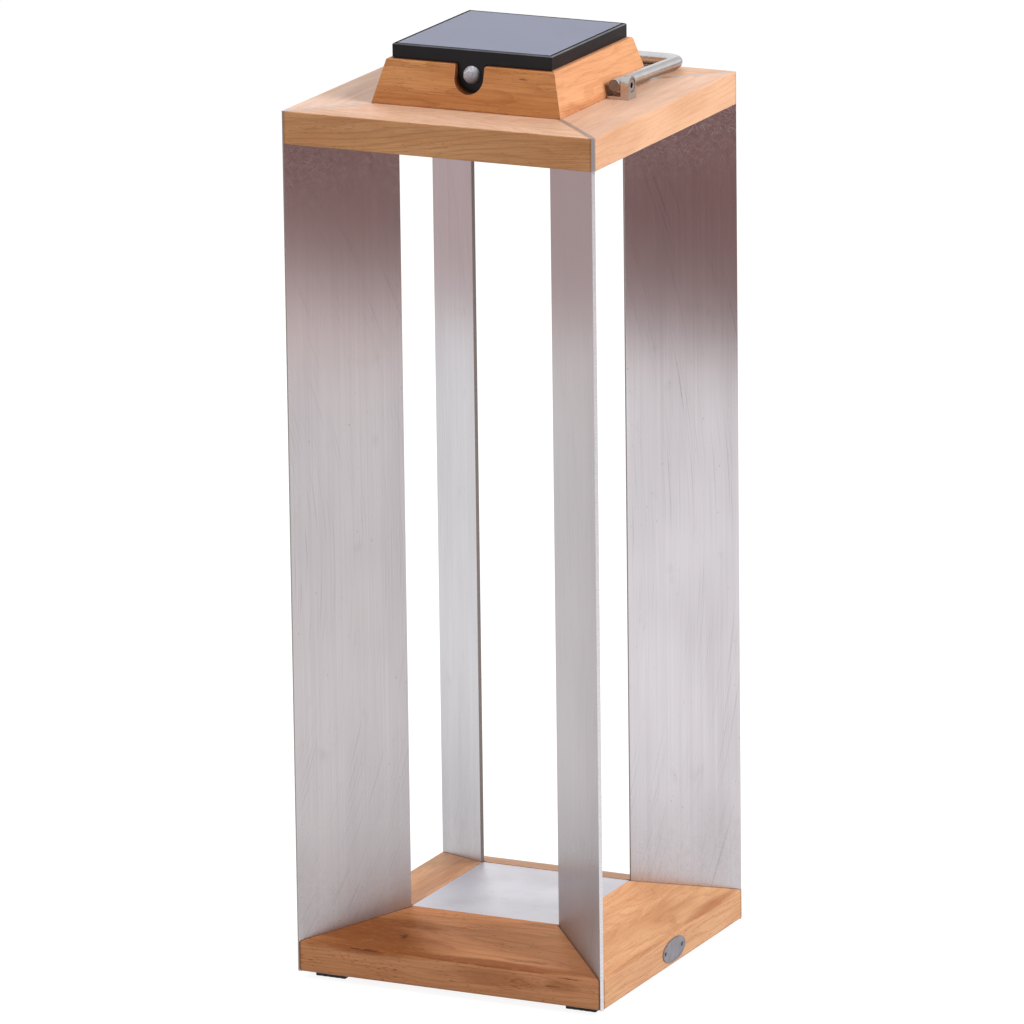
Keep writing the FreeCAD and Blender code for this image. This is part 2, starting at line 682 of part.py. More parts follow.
def bail_handle():
    """The round bar bent to a U, which turns on the pivot screws."""
    body = new_body("bail_handle", f"{TOP_FACE} + pivot_rise")
    body.Placement.Rotation = FreeCAD.Rotation(X_AXIS, -1)
    bind(body, Placement__Base__y="pivot_back", Placement__Rotation__Angle=f"-{REST_ANGLE}")
    across, reach, bend, stub = (value(text) for text in (ARM_X, ARM_LENGTH, "bend_radius", "bail_stub"))
    ends = FreeCAD.Vector(across, -stub, 0), FreeCAD.Vector(-across, -stub, 0)
    bends = FreeCAD.Vector(across - bend, reach - bend, 0), FreeCAD.Vector(bend - across, reach - bend, 0)
    out, back = X_AXIS * bend, Y_AXIS * bend
    path = new_sketch(body, "XY_Plane")
    path.addGeometry(Part.LineSegment(ends[0], bends[0] + out), False)
    path.addGeometry(arc_between(bends[0] + out, bends[0] + back, reach - bend, False), False)
    path.addGeometry(Part.LineSegment(bends[0] + back, bends[1] + back), False)
    path.addGeometry(arc_between(bends[1] + back, bends[1] - out, reach - bend, False), False)
    path.addGeometry(Part.LineSegment(bends[1] - out, ends[1]), False)
    for curve in range(4):
        path.addConstraint(Sketcher.Constraint("Tangent", curve, 2, curve + 1, 1))
    for arm, end, sign in ((0, 1, ""), (4, 2, "-")):
        path.addConstraint(Sketcher.Constraint("Vertical", arm))
        tie(path, "DistanceX", arm, end, sign + ARM_X)
        tie(path, "DistanceY", arm, end, "-bail_stub")
    path.addConstraint(Sketcher.Constraint("Horizontal", 2))
    tie(path, "DistanceY", 2, 1, ARM_LENGTH)
    for corner in (1, 3):
        tie_radius(path, corner, "bend_radius")
    section = new_sketch(body, "XZ_Plane", x=ARM_X, z="bail_stub")
    circle(section, "0", "0", "bar_radius")
    bar = body.newObject("PartDesign::AdditivePipe", "AdditivePipe")
    bar.Profile = section
    bar.Spine = (path, [])
    dress("Chamfer", body, "stub_bevel", lambda edge: lies_at(edge, y=-stub))
    pivots = new_sketch(body, "YZ_Plane")
    circle(pivots, "0", "0", "pin_radius + pin_fit")
    pocket(body, pivots, f"2 * {EAR_IN}", both=True)


def handle_bracket(side, sign):
    """An ear with an arched top that holds a pivot screw, on a thin foot under the bar."""
    body = new_body(f"handle_bracket_{side}", TOP_FACE)
    bind(body, Placement__Base__y="pivot_back")
    mirrored = bool(sign)
    ear = new_sketch(body, "YZ_Plane", z=sign + EAR_IN)
    half = "ear_width / 2"
    corners = [(f"-{half}", "0"), (half, "0"), (half, "pivot_rise"), (f"-{half}", "pivot_rise")]
    outline(ear, corners, {2: ("pivot_rise", False)})
    pad(body, ear, "ear_thick", backwards=mirrored)
    foot = new_sketch(body, "XY_Plane")
    inward = f"{sign}({HOOD_HALF} + bracket_gap)"
    rectangle(foot, inward, f"-{half}", f"{sign}({EAR_IN} + ear_thick / 2)", half)
    pad(body, foot, "bracket_foot")
    bore = new_sketch(body, "YZ_Plane", z=sign + EAR_OUT)
    circle(bore, "0", "pivot_rise", "pin_radius + pin_fit")
    pocket(body, bore, "ear_thick", backwards=mirrored)
    recess = new_sketch(body, "YZ_Plane", z=sign + EAR_OUT)
    circle(recess, "0", "pivot_rise", "pin_head + pin_sunk")
    pocket(body, recess, "pin_head_thick + pin_sunk", backwards=mirrored)
    screws = new_sketch(body, "XY_Plane")
    for end in ("", "-"):
        circle(screws, sign + ARM_X, f"{end}csk_reach", "csk_shank + screw_fit")
    pocket(body, screws, "bracket_foot", backwards=True)
    rim = value("bracket_foot")
    dress("Chamfer", body, "csk_radius - csk_shank", lambda edge: edge.isClosed() and lies_at(edge, z=rim))


def pivot_screw(side, sign):
    """A socket screw, sunk in its ear, on which an arm of the bail turns."""
    body = new_body(f"pivot_screw_{side}", f"{TOP_FACE} + pivot_rise")
    bind(body, Placement__Base__y="pivot_back")
    tip = f"{sign}({ARM_X} - bar_radius / 2)"
    under = f"{sign}{HEAD_FLOOR}"
    top = f"{sign}({EAR_OUT} - pin_sunk)"
    section = new_sketch(body, "XZ_Plane")
    corners = [(tip, "0"), (top, "0"), (top, "pin_head"), (under, "pin_head"), (under, "pin_radius")]
    outline(section, corners + [(tip, "pin_radius")])
    revolve(body, section, "H_Axis")
    socket = new_sketch(body, "YZ_Plane", z=top)
    point = "socket_width / 2 / cos(30)"
    turns = range(0, 360, 60)
    outline(socket, [(f"{point} * cos({turn})", f"{point} * sin({turn})") for turn in turns])
    pocket(body, socket, "socket_depth", backwards=bool(sign))


def bracket_screws():
    """The countersunk screws through the brackets' feet."""
    body = new_body("bracket_screws", f"{TOP_FACE} + bracket_foot", group=True)
    bind(body, Placement__Base__y="pivot_back")
    turned = []
    for sign in ("", "-"):
        section = new_sketch(body, "XZ_Plane", x=ARM_X, z=f"{sign}csk_reach")
        outline(section, [
            ("0", "-csk_length"),
            ("csk_shank", "-csk_length + 2 * csk_shank"),
            ("csk_shank", "csk_shank - csk_radius"),
            ("csk_radius", "0"),
            ("0", "0"),
        ])
        turned.append(revolve(body, section, "V_Axis"))
    repeat_round(body, turned, 2)


# Solar module: case, panel and sensor

def module_case():
    """The moulded case: panel rim above, tub below and the sensor's tongue in front."""
    body = new_body("module_case", SEAT)
    flange = new_sketch(body, "XY_Plane")
    square(flange, "(panel_width / 2)")
    pad(body, flange, "panel_thick")
    top = value("panel_thick")
    dress("Chamfer", body, "panel_bevel", lambda edge: lies_at(edge, z=top))
    tub = new_sketch(body, "XY_Plane")
    square(tub, TUB_HALF)
    pad(body, tub, "tub_depth", backwards=True)
    tongue = new_sketch(body, "XZ_Plane", z="panel_width / 2")
    upper = [(TONGUE_HALF, "0"), (f"-{TONGUE_HALF}", "0")]
    lower = [(f"-{TONGUE_HALF}", TONGUE_ROUND), (TONGUE_HALF, TONGUE_ROUND)]
    outline(tongue, upper + lower, {2: (TONGUE_ROUND, False)})
    wall = f"panel_width / 2 - {TUB_IN}"
    pad(body, tongue, wall, backwards=True)
    recess = new_sketch(body, "XY_Plane", z="panel_thick")
    square(recess, "(panel_width / 2 - panel_rim)")
    pocket(body, recess, RECESS)
    hollow = new_sketch(body, "XY_Plane", z="-tub_depth")
    inset = f"({TUB_IN} - post_width)"
    quarter = [(inset, f"-{TUB_IN}"), (inset, f"-{inset}"), (TUB_IN, f"-{inset}")]
    half = quarter + [(x, y.lstrip("-")) for x, y in reversed(quarter)]
    outline(hollow, half + [(f"-{x}", y) for x, y in reversed(half)])
    pocket(body, hollow, f"tub_depth + {CEILING}", backwards=True)
    bore = new_sketch(body, "XZ_Plane", z="panel_width / 2")
    circle(bore, "0", LENS_Z, "lens_neck + bore_fit")
    pocket(body, bore, wall)
    posts = new_sketch(body, "XY_Plane", z="-tub_depth")
    four_circles(posts, POST, POST, "cover_screw + screw_fit")
    pocket(body, posts, "cover_screw_bite + screw_fit", backwards=True)
    leads = new_sketch(body, "XY_Plane", z=f"{CEILING} + web_thick")
    for sign in ("", "-"):
        circle(leads, f"{sign}lead_reach", "0", "lead_radius + lead_fit")
    pocket(body, leads, "web_thick")
    pillars = new_sketch(body, "XY_Plane", z=CEILING)
    four_circles(pillars, PILLAR_X, PILLAR_Y, "pillar_radius")
    pad(body, pillars, "board_drop", backwards=True)
    pilots = new_sketch(body, "XY_Plane", z=BOARD_TOP)
    four_circles(pilots, PILLAR_X, PILLAR_Y, "board_screw + screw_fit")
    pocket(body, pilots, "board_screw_bite + screw_fit", backwards=True)


def panel_layers():
    """Glass, solar cells and backing, which fill the recess in the rim."""
    layers = {
        "cell_backing": (f"{CEILING} + web_thick", "backing_thick"),
        "solar_glass": ("panel_thick - glass_thick", "glass_thick"),
    }
    for label, (under, thick) in layers.items():
        low = in_module(under)
        layer = box((f"-{GLASS_HALF}", f"-{GLASS_HALF}", low), (GLASS_HALF, GLASS_HALF, f"{low} + {thick}"))
        finished(layer, label)
    low = in_module("panel_thick - glass_thick - cell_thick")
    pitch_x = f"(2 * {GLASS_HALF} / {CELL_COLUMNS})"
    pitch_y = f"(2 * {GLASS_HALF} / {CELL_ROWS})"
    cells = []
    for column in range(CELL_COLUMNS):
        for line in range(CELL_ROWS):
            left = f"{column} * {pitch_x} + cell_gap / 2 - {GLASS_HALF}"
            near = f"{line} * {pitch_y} + cell_gap / 2 - {GLASS_HALF}"
            right = f"{left} + {pitch_x} - cell_gap"
            far = f"{near} + {pitch_y} - cell_gap"
            cells.append(box((left, near, low), (right, far, f"{low} + cell_thick")))
    finished(together(cells), "solar_cells")


def pir_lens():
    """The hollow dome in front of the motion sensor, with its neck in the tongue's bore."""
    body = new_body("pir_lens", SEAT)
    section = new_sketch(body, "YZ_Plane", x="-panel_width / 2", y=LENS_Z)
    inner = "lens_neck - lens_wall"
    outline(section, [
        ("-lens_bulge", "0"),
        ("lens_wall - lens_bulge", "0"),
        ("0", inner),
        ("lens_neck_length", inner),
        ("lens_neck_length", "lens_neck"),
        ("0", "lens_neck"),
        ("0", "lens_radius"),
    ], {1: ("0", True), 6: ("0", False)})
    revolve(body, section, "H_Axis")


def motion_sensor():
    """The sensor's can in the tongue's bore and the small board behind it."""
    can = rod(("0", f"-{TUB_IN}", in_module(LENS_Z)), "can_radius", "can_length", FreeCAD.Vector(0, -1, 0))
    finished(can, "pir_sensor")
    half = "sensor_board_width / 2"
    low = (f"-{half}", f"-{TUB_IN}", in_module(f"{LENS_Z} - {half}"))
    finished(box(low, (half, f"-{TUB_IN} + circuit_thick", in_module(f"{LENS_Z} + {half}"))), "sensor_board")


# Solar module: inside

def batteries():
    """Two rechargeable cells, each in a holder under the case's ceiling."""
    cells, holders = [], []
    for sign in ("", "-"):
        middle = f"{sign}{BATTERY_X}"
        axis_z = in_module(BATTERY_Z)
        can = rod((middle, "-battery_length / 2", axis_z), "battery_radius", "battery_length", Y_AXIS)
        nub = rod((middle, "battery_length / 2", axis_z), "battery_nub", "battery_nub_thick", Y_AXIS)
        cells.append(boolean("Fuse", can, nub))
        low = (f"{middle} - {HOLDER_HALF}", f"-{HOLDER_LONG}", in_module(f"{CEILING} - holder_height"))
        high = (f"{middle} + {HOLDER_HALF}", HOLDER_LONG, in_module(CEILING))
        room = f"({HOLDER_LONG} - holder_wall)"
        trough = rod((middle, f"-{room}", axis_z), "battery_radius + battery_fit", f"2 * {room}", Y_AXIS)
        holders.append(boolean("Cut", box(low, high), trough))
    finished(together(cells), "battery_cells")
    finished(together(holders), "battery_holders")


def main_board():
    """The control board under the case's pillars."""
    body = new_body("main_board", in_module(BOARD_UNDER))
    plan = new_sketch(body, "XY_Plane")
    rectangle(plan, f"-{BOARD_X}", f"-{BOARD_Y}", BOARD_X, BOARD_Y)
    four_circles(plan, PILLAR_X, PILLAR_Y, "board_screw + screw_fit")
    pad(body, plan, "circuit_thick")


def screw_in_each_quarter(body, spot, radius, head, head_thick, length):
    """Turn four upright screws with their heads below, one in each quarter."""
    turned = []
    for sign in ("", "-"):
        section = new_sketch(body, "XZ_Plane", x=spot[0], z=sign + spot[1])
        corners = [("0", f"-{head_thick}"), (head, f"-{head_thick}"), (head, "0"), (radius, "0")]
        outline(section, corners + [(radius, f"{length} - {radius}"), ("0", length)])
        turned.append(revolve(body, section, "V_Axis"))
    repeat_round(body, turned, 2)


def board_screws():
    """The screws that hold the control board to its pillars."""
    body = new_body("board_screws", in_module(BOARD_UNDER), group=True)
    length = "circuit_thick + board_screw_bite"
    spot = (PILLAR_X, PILLAR_Y)
    screw_in_each_quarter(body, spot, "board_screw", "board_screw_head", "board_screw_thick", length)


def cover_screws():
    """The screws that hold the cover to the case's posts."""
    body = new_body("cover_screws", in_module(COVER_OUT), group=True)
    length = "cover_thick + gasket_thick + cover_screw_bite"
    spot = (POST, POST)
    screw_in_each_quarter(body, spot, "cover_screw", "cover_screw_head", "cover_screw_thick", length)


def wiring():
    """The panel's leads to the control board and the pins down to the light board."""
    leads, pins = [], []
    for sign in ("", "-"):
        down = "board_drop + web_thick"
        leads.append(rod((f"{sign}lead_reach", "0", in_module(BOARD_TOP)), "lead_radius", down))
        gap = f"{BOARD_UNDER} - {LIGHT_TOP}"
        pins.append(rod((f"{sign}header_reach", "0", in_module(LIGHT_TOP)), "header_radius", gap))
    finished(together(leads), "panel_leads")
    finished(together(pins), "board_pins")


def light_board():
    """The light board on the diffuser's rim, with its lamps facing down."""
    low = in_module(TRAY_TOP)
    board = box((f"-{TRAY_HALF}", f"-{TRAY_HALF}", low), (TRAY_HALF, TRAY_HALF, in_module(LIGHT_TOP)))
    finished(board, "led_board")
    first = (1 - LEDS_PER_SIDE) / 2
    lamps = []
    for column in range(LEDS_PER_SIDE):
        for line in range(LEDS_PER_SIDE):
            x = f"({first + column} * led_pitch)"
            y = f"({first + line} * led_pitch)"
            near = (f"{x} - led_width / 2", f"{y} - led_width / 2", f"{low} - led_thick")
            lamps.append(box(near, (f"{x} + led_width / 2", f"{y} + led_width / 2", low)))
    finished(together(lamps), "leds")


def diffuser():
    """The milky tray that fills the cover's window and carries the light board."""
    body = new_body("diffuser", in_module(COVER_OUT))
    tray = new_sketch(body, "XY_Plane")
    square(tray, TRAY_HALF)
    pad(body, tray, "tray_depth")
    lip = new_sketch(body, "XY_Plane", z="cover_thick")
    square(lip, TRAY_LIP)
    pad(body, lip, "tray_lip_thick")
    hollow = new_sketch(body, "XY_Plane", z="tray_depth")
    square(hollow, f"({TRAY_HALF} - tray_wall)")
    pocket(body, hollow, "tray_depth - tray_wall")


def case_gasket():
    """The seal between the case and its cover."""
    ring = []
    for half in (f"({TUB_HALF} - part_gap)", TUB_IN):
        ring.append(box((f"-{half}", f"-{half}", in_module(COVER_IN)), (half, half, in_module("-tub_depth"))))
    finished(boolean("Cut", *ring), "case_gasket")


def module_cover():
    """The bottom cover with the light's window, the button's hole and the screw holes."""
    body = new_body("module_cover", in_module(COVER_OUT))
    plan = new_sketch(body, "XY_Plane")
    square(plan, TUB_HALF)
    square(plan, f"({TRAY_HALF} + part_gap)")
    circle(plan, "0", BUTTON_Y, "button_radius + button_fit")
    four_circles(plan, POST, POST, "cover_screw + screw_fit")
    pad(body, plan, "cover_thick")


def mode_controls():
    """The switch under the control board, its plunger and the button that presses it."""
    half = "switch_width / 2"
    low = (f"-{half}", f"{BUTTON_Y} - {half}", in_module(SWITCH_UNDER))
    block = box(low, (half, f"{BUTTON_Y} + {half}", in_module(BOARD_UNDER)))
    well = rod(("0", BUTTON_Y, in_module(SWITCH_UNDER)), "plunger_radius + button_fit", "plunger_well")
    finished(boolean("Cut", block, well), "mode_switch")
    plunger = rod(("0", BUTTON_Y, in_module(STEM_TOP)), "plunger_radius", "plunger_show + plunger_sunk")
    finished(plunger, "switch_plunger")
    body = new_body("mode_button", SEAT)
    section = new_sketch(body, "YZ_Plane", x=BUTTON_Y)
    outline(section, [
        ("0", f"{COVER_OUT} - button_proud"),
        ("button_radius", f"{COVER_OUT} - button_proud"),
        ("button_radius", COVER_IN),
        ("button_flange", COVER_IN),
        ("button_flange", f"{COVER_IN} + button_flange_thick"),
        ("stem_radius", f"{COVER_IN} + button_flange_thick"),
        ("stem_radius", STEM_TOP),
        ("0", STEM_TOP),
    ])
    revolve(body, section, "V_Axis")


def build():
    """Make every sub-part."""
    for side, turn in SIDES.items():
        base_board(side, turn)
        top_board(side, turn)
        hood_side(side, turn)
    for corner, turn in CORNERS.items():
        corner_plate(corner, turn)
    dowels("base_dowels", "dowel_rise")
    dowels("top_dowels", "plate_height - top_thick / 2")
    floor_plate()
    foot_pads()
    badge_plate()
    badge_nails()
    hood_screws()
    bail_handle()
    for side, sign in (("right", ""), ("left", "-")):
        handle_bracket(side, sign)
        pivot_screw(side, sign)
    bracket_screws()
    module_case()
    panel_layers()
    pir_lens()
    motion_sensor()
    batteries()
    main_board()
    board_screws()
    wiring()
    light_board()
    diffuser()
    case_gasket()
    module_cover()
    cover_screws()
    mode_controls()


def export():
    """Check the whole document, then write each sub-part."""
    doc.recompute()
    for thing in doc.Objects:
        if {"Invalid", "Error"} & set(thing.State):
            raise RuntimeError(f"{thing.Label} did not build: {thing.State}")
    os.makedirs("parts", exist_ok=True)
    for piece in pieces:
        if piece.Shape.isNull() or not piece.Shape.isValid():
            raise RuntimeError(f"{piece.Label} has no sound shape")
    for piece in pieces:
        piece.Shape.exportStep(os.path.join("parts", f"{piece.Label}.step"))
        print(piece.Label, len(piece.Shape.Solids), round(piece.Shape.Volume, 1))


build()
export()
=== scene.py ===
import json
import math

import bmesh
import bpy
from mathutils import Matrix, Vector


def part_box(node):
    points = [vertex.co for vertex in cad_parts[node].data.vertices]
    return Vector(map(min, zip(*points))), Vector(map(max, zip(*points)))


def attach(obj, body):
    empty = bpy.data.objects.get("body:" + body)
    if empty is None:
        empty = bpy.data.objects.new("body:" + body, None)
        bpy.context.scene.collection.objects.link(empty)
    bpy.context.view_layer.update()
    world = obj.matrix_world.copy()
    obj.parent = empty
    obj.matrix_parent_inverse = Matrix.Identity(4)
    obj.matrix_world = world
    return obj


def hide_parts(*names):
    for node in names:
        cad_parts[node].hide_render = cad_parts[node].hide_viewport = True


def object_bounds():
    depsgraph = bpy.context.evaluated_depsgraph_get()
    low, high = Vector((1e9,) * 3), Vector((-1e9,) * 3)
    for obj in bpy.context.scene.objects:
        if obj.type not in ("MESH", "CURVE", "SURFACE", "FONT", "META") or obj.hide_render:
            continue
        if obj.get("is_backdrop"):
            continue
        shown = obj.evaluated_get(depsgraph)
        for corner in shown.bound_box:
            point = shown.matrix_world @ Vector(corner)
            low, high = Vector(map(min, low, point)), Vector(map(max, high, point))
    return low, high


bl_info = {
    "name": "Solar garden lantern",
    "version": (1, 0, 0),
    "blender": (4, 5, 0),
    "location": "3D View > Sidebar > Lantern",
    "description": "Dresses the lantern's solids in teak, brushed metal, moulded plastic and glass",
    "category": "Object",
}

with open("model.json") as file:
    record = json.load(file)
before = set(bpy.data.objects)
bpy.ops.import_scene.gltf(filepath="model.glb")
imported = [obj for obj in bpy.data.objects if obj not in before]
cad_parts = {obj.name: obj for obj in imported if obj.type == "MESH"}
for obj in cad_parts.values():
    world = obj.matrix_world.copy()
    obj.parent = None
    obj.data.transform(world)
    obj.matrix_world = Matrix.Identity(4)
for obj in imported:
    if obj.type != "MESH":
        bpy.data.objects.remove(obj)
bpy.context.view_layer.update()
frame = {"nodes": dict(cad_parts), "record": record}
NODES = frame["nodes"]
BODY_OF = {node: body for body, nodes in frame["record"]["behaviour"]["bodies"].items() for node in nodes}

MM = 0.001
# Points of a solid's triangles that lie closer than this are one point
WELD = 2e-6
# Height in millimetres just under the top frame, where scuffs are at their strongest and grime begins
NEAR_TOP = 604.0
# Metres from the lantern's middle to each lamp, and from the middle of the floor to its edges
LAMP_DISTANCE = 2.7
FLOOR_HALF = 14.0
WHITE = (1.0, 1.0, 1.0, 1.0)
# A Map Range node that eases in and out, and a Mix node's colour sockets and settings
EASED = {"interpolation_type": "SMOOTHSTEP"}
MIX_A = 6
MIX_B = 7
BLEND = {"out": 2, "data_type": "RGBA"}


def linear(code):
    """Turn an sRGB hex colour into linear values."""
    parts = [int(code[place:place + 2], 16) / 255 for place in (1, 3, 5)]
    curved = [part / 12.92 if part <= 0.04045 else ((part + 0.055) / 1.055) ** 2.4 for part in parts]
    return (*curved, 1.0)


# What a user may change

def length(name, description, millimetres):
    """Describe a length property, with its default in millimetres."""
    return bpy.props.FloatProperty(
        name=name, description=description, default=millimetres * MM, min=0.0, precision=5,
        subtype="DISTANCE", unit="LENGTH",
    )


def colour(name, description, code):
    """Describe a colour property, with its default as sRGB hex."""
    return bpy.props.FloatVectorProperty(
        name=name, description=description, default=linear(code), size=4, min=0.0, max=1.0, subtype="COLOR",
    )


def power(name, description, watts):
    """Describe the power of a light."""
    return bpy.props.FloatProperty(
        name=name, description=description, default=watts, min=0.0, subtype="POWER", unit="POWER",
    )


class LanternSizes(bpy.types.PropertyGroup):
    """Sizes of the fine shapes and of the surface patterns."""

    board_arris: length("Board arris", "Rounding of the boards' sharp edges", 0.5)
    plate_edge: length("Plate edge", "Rounding of the cut edges of the metal plates", 0.3)
    fitting_edge: length("Fitting edge", "Rounding of the bracket's edges", 0.45)
    case_edge: length("Case edge", "Rounding of the moulded case's edges", 0.2)
    ring_pitch: length("Ring pitch", "Distance from one growth ring to the next in the teak", 3.4)
    fibre_width: length("Fibre width", "Width of the fine streaks in the teak", 0.8)
    brush_width: length("Brush width", "Width of the brushing marks, coarse enough to show", 0.8)
    finger_pitch: length("Finger pitch", "Distance between the silver lines on the solar cells", 2.4)
    finger_width: length("Finger width", "Width of a silver line, wider than real so that it shows", 0.22)
    facet_lift: length("Facet lift", "Height of the facets on the sensor's dome", 0.16)


class LanternColours(bpy.types.PropertyGroup):
    """Colours of the finishes."""

    teak_pale: colour("Pale teak", "Paler patches of the early wood", "#D69E69")
    teak_mid: colour("Teak", "Browner patches of the early wood", "#C78852")
    teak_deep: colour("Deep teak", "Late wood and streaks", "#A5683C")
    # Also the tone of the painted shade in the notch and the joints and of the painted shadow lines
    teak_dark_and_shade: colour("Dark teak", "Nicks, burns and joints filled with old oil", "#5A2C14")
    teak_stain: colour("Oil stain", "Open pores and reddish stains of old oil", "#8A4713")
    # Also the tone of the painted sheen on the boards' tops and sides and of the painted highlight on their
    # rounded edges
    teak_paled_and_lit: colour("Bleached teak", "Wood that the sun has paled", "#DDBFAE")
    aluminium: colour("Aluminium", "Brushed floor plate", "#F8F5FC")
    stainless: colour("Stainless steel", "Bar of the bail", "#E4E2E2")
    pewter: colour("Dull nickel", "Oval plate and its nails", "#9C979E")
    zinc: colour("Zinc plating", "Hidden screws", "#BFC1C4")
    case_black: colour("Black plastic", "Moulded case and cover", "#131214")
    rubber_black: colour("Black rubber", "Pads and seal", "#1E1D1D")
    glass_blue: colour("Solar glass", "Smoky glass over the cells", "#45558F")
    cell_blue: colour("Solar cell", "Silicon under the glass", "#2A3350")
    # The lit side of the dome's painted light and shade
    lens_milk_lit: colour("Sensor dome", "Milky plastic of the dome", "#BCBCC6")


class LanternLight(bpy.types.PropertyGroup):
    """Light and surroundings."""

    key_watts: power("Key light", "Power of the soft light on the right", 88.0)
    front_watts: power("Front light", "Power of the weakest light, at the front on the left", 18.5)
    back_watts: power("Back light", "Power of the weak light at the back on the left", 28.0)
    sky_strength: bpy.props.FloatProperty(
        name="Room light", description="Even light from all round", default=0.33, min=0.0,
    )
    sweep_half: length("Sweep", "From the middle to the end of the white sweep that the metal reflects", 1575)
    sweep_turn: bpy.props.FloatProperty(
        name="Sweep turn", description="How far the white sweep is turned on the floor",
        default=math.radians(-10.5), subtype="ANGLE", unit="ROTATION",
    )
    sweep_fade: length("Sweep fade", "Half the width over which the sweep fades into the room", 40)
    room_dark: colour("Dark room", "Warm dark room beyond the sweep, seen only in reflections", "#846460")
    room_side: colour("Pale room", "Lighter side of the room, on the left", "#D2C0C0")


# Node helpers

def feed(tree, sockets, given):
    """Set or link input sockets, which are given by name or by number."""
    for key, value in given.items():
        if isinstance(value, bpy.types.NodeSocket):
            tree.links.new(value, sockets[key])
        else:
            sockets[key].default_value = value


def add(tree, kind, inputs=(), out=0, **settings):
    """Add a node with its settings, feed its inputs in order or by name, and give one of its outputs."""
    node = tree.nodes.new(kind)
    for key, setting in settings.items():
        setattr(node, key, setting)
    feed(tree, node.inputs, inputs if isinstance(inputs, dict) else dict(enumerate(inputs)))
    return node.outputs[out]


def new_finish(name):
    """Start a material and give it, its node tree and its shader's inputs."""
    material = bpy.data.materials.new(name)
    material.use_nodes = True
    tree = material.node_tree
    return material, tree, tree.nodes["Principled BSDF"].inputs


def in_millimetres(tree, turn=0.0, shift=(0.0, 0.0, 0.0)):
    """Give the surface's own place in millimetres, turned about the upright axis and then shifted."""
    place = add(tree, "ShaderNodeTexCoord", out="Object")
    scale = (1 / MM, 1 / MM, 1 / MM)
    turned = {"Vector": place, "Rotation": (0.0, 0.0, turn), "Scale": scale, "Location": shift}
    return add(tree, "ShaderNodeMapping", turned)


def clouds(tree, place, sizes, detail=2.0, roughness=0.5):
    """Give a cloudy pattern whose features have these sizes in millimetres along the three axes."""
    shares = tuple(1 / size for size in sizes)
    scaled = add(tree, "ShaderNodeVectorMath", (place, shares), operation="MULTIPLY")
    pattern = {"Vector": scaled, "Scale": 1.0, "Detail": detail, "Roughness": roughness}
    return add(tree, "ShaderNodeTexNoise", pattern)


def toned(tree, ground, *layers):
    """Lay tones over a ground one after another.

    A layer ends in its tone, as sRGB hex, as linear values or as a link. Before that stands its share, or
    else a mask, the values of the mask between which the share changes and, if they aren't 0 and 1, the
    shares at those two.
    """
    for *share, tone in layers:
        amount = share[0] if len(share) == 1 else add(tree, "ShaderNodeMapRange", share, **EASED)
        second = linear(tone) if isinstance(tone, str) else tone
        ground = add(tree, "ShaderNodeMix", {0: amount, MIX_A: ground, MIX_B: second}, **BLEND)
    return ground


def surface(tree, inputs, tone, rough, relief=(), **constants):
    """Feed a shader with its colour, roughness, relief and constants; two underscores stand for a space.

    rough is a mask, the values of it between which the roughness changes and the roughness at those two.
    relief is a height from 0 to 1, how deep that is in millimetres and how strongly it shows.
    """
    given = {"Base Color": tone, "Roughness": add(tree, "ShaderNodeMapRange", rough, **EASED)}
    if relief:
        height, millimetres, strength = relief
        bump = {"Height": height, "Distance": millimetres * MM, "Strength": strength}
        given["Normal"] = add(tree, "ShaderNodeBump", bump)
    feed(tree, inputs, given)
    feed(tree, inputs, {name.replace("__", " "): value for name, value in constants.items()})


# Mesh helpers

def new_object(name, mesh):
    """Put a mesh in the scene at the origin."""
    thing = bpy.data.objects.new(name, mesh)
    bpy.context.scene.collection.objects.link(thing)
    return thing


def skin(name, rings, capped=True):
    """Join rings of points into an object, each to the next, the ends capped or else joined to each other."""
    count = len(rings)
    sides = len(rings[0])
    faces = []
    if capped:
        faces += [tuple(reversed(range(sides))), tuple(range((count - 1) * sides, count * sides))]
    for ring in range(count - 1 if capped else count):
        near = ring * sides
        far = (ring + 1) % count * sides
        for step in range(sides):
            after = (step + 1) % sides
            faces.append((near + step, near + after, far + after, far + step))
    mesh = bpy.data.meshes.new(name)
    mesh.from_pydata([point for ring in rings for point in ring], [], faces)
    solid = bmesh.new()
    solid.from_mesh(mesh)
    bmesh.ops.recalc_face_normals(solid, faces=solid.faces)
    solid.to_mesh(mesh)
    solid.free()
    return new_object(name, mesh)


def circle(radius, sides):
    """The points of a circle about the origin, as pairs."""
    angles = [2 * math.pi * step / sides for step in range(sides)]
    return [(radius * math.cos(angle), radius * math.sin(angle)) for angle in angles]


def oblong(half_x, half_y, height):
    """The corners of an upright block at one height."""
    return [(x, y, height) for x, y in (
        (-half_x, -half_y), (half_x, -half_y), (half_x, half_y), (-half_x, half_y),
    )]


def settle(thing):
    """Turn an object's modifiers into its own plain mesh."""
    graph = bpy.context.evaluated_depsgraph_get()
    mesh = bpy.data.meshes.new_from_object(thing.evaluated_get(graph), depsgraph=graph)
    thing.modifiers.clear()
    old = thing.data
    thing.data = mesh
    bpy.data.meshes.remove(old)
    mesh.name = thing.name
    return thing


def cut_by(piece, *cutters):
    """Cut shapes out of a piece and remove them."""
    for cutter in cutters:
        cut = piece.modifiers.new("Cut", "BOOLEAN")
        cut.operation = "DIFFERENCE"
        cut.object = cutter
        cut.solver = "EXACT"
    settle(piece)
    for cutter in cutters:
        bpy.data.objects.remove(cutter)


def shaded(thing, degrees=32.0):
    """Shade smooth up to an angle between faces."""
    thing.data.polygons.foreach_set("use_smooth", [True] * len(thing.data.polygons))
    thing.data.set_sharp_from_angle(angle=math.radians(degrees))
    return thing


def stands_for(piece, *nodes):
    """Let a piece ride on the body of the nodes that it replaces, and hide those nodes."""
    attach(piece, BODY_OF[nodes[0]])
    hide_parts(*nodes)
    return piece


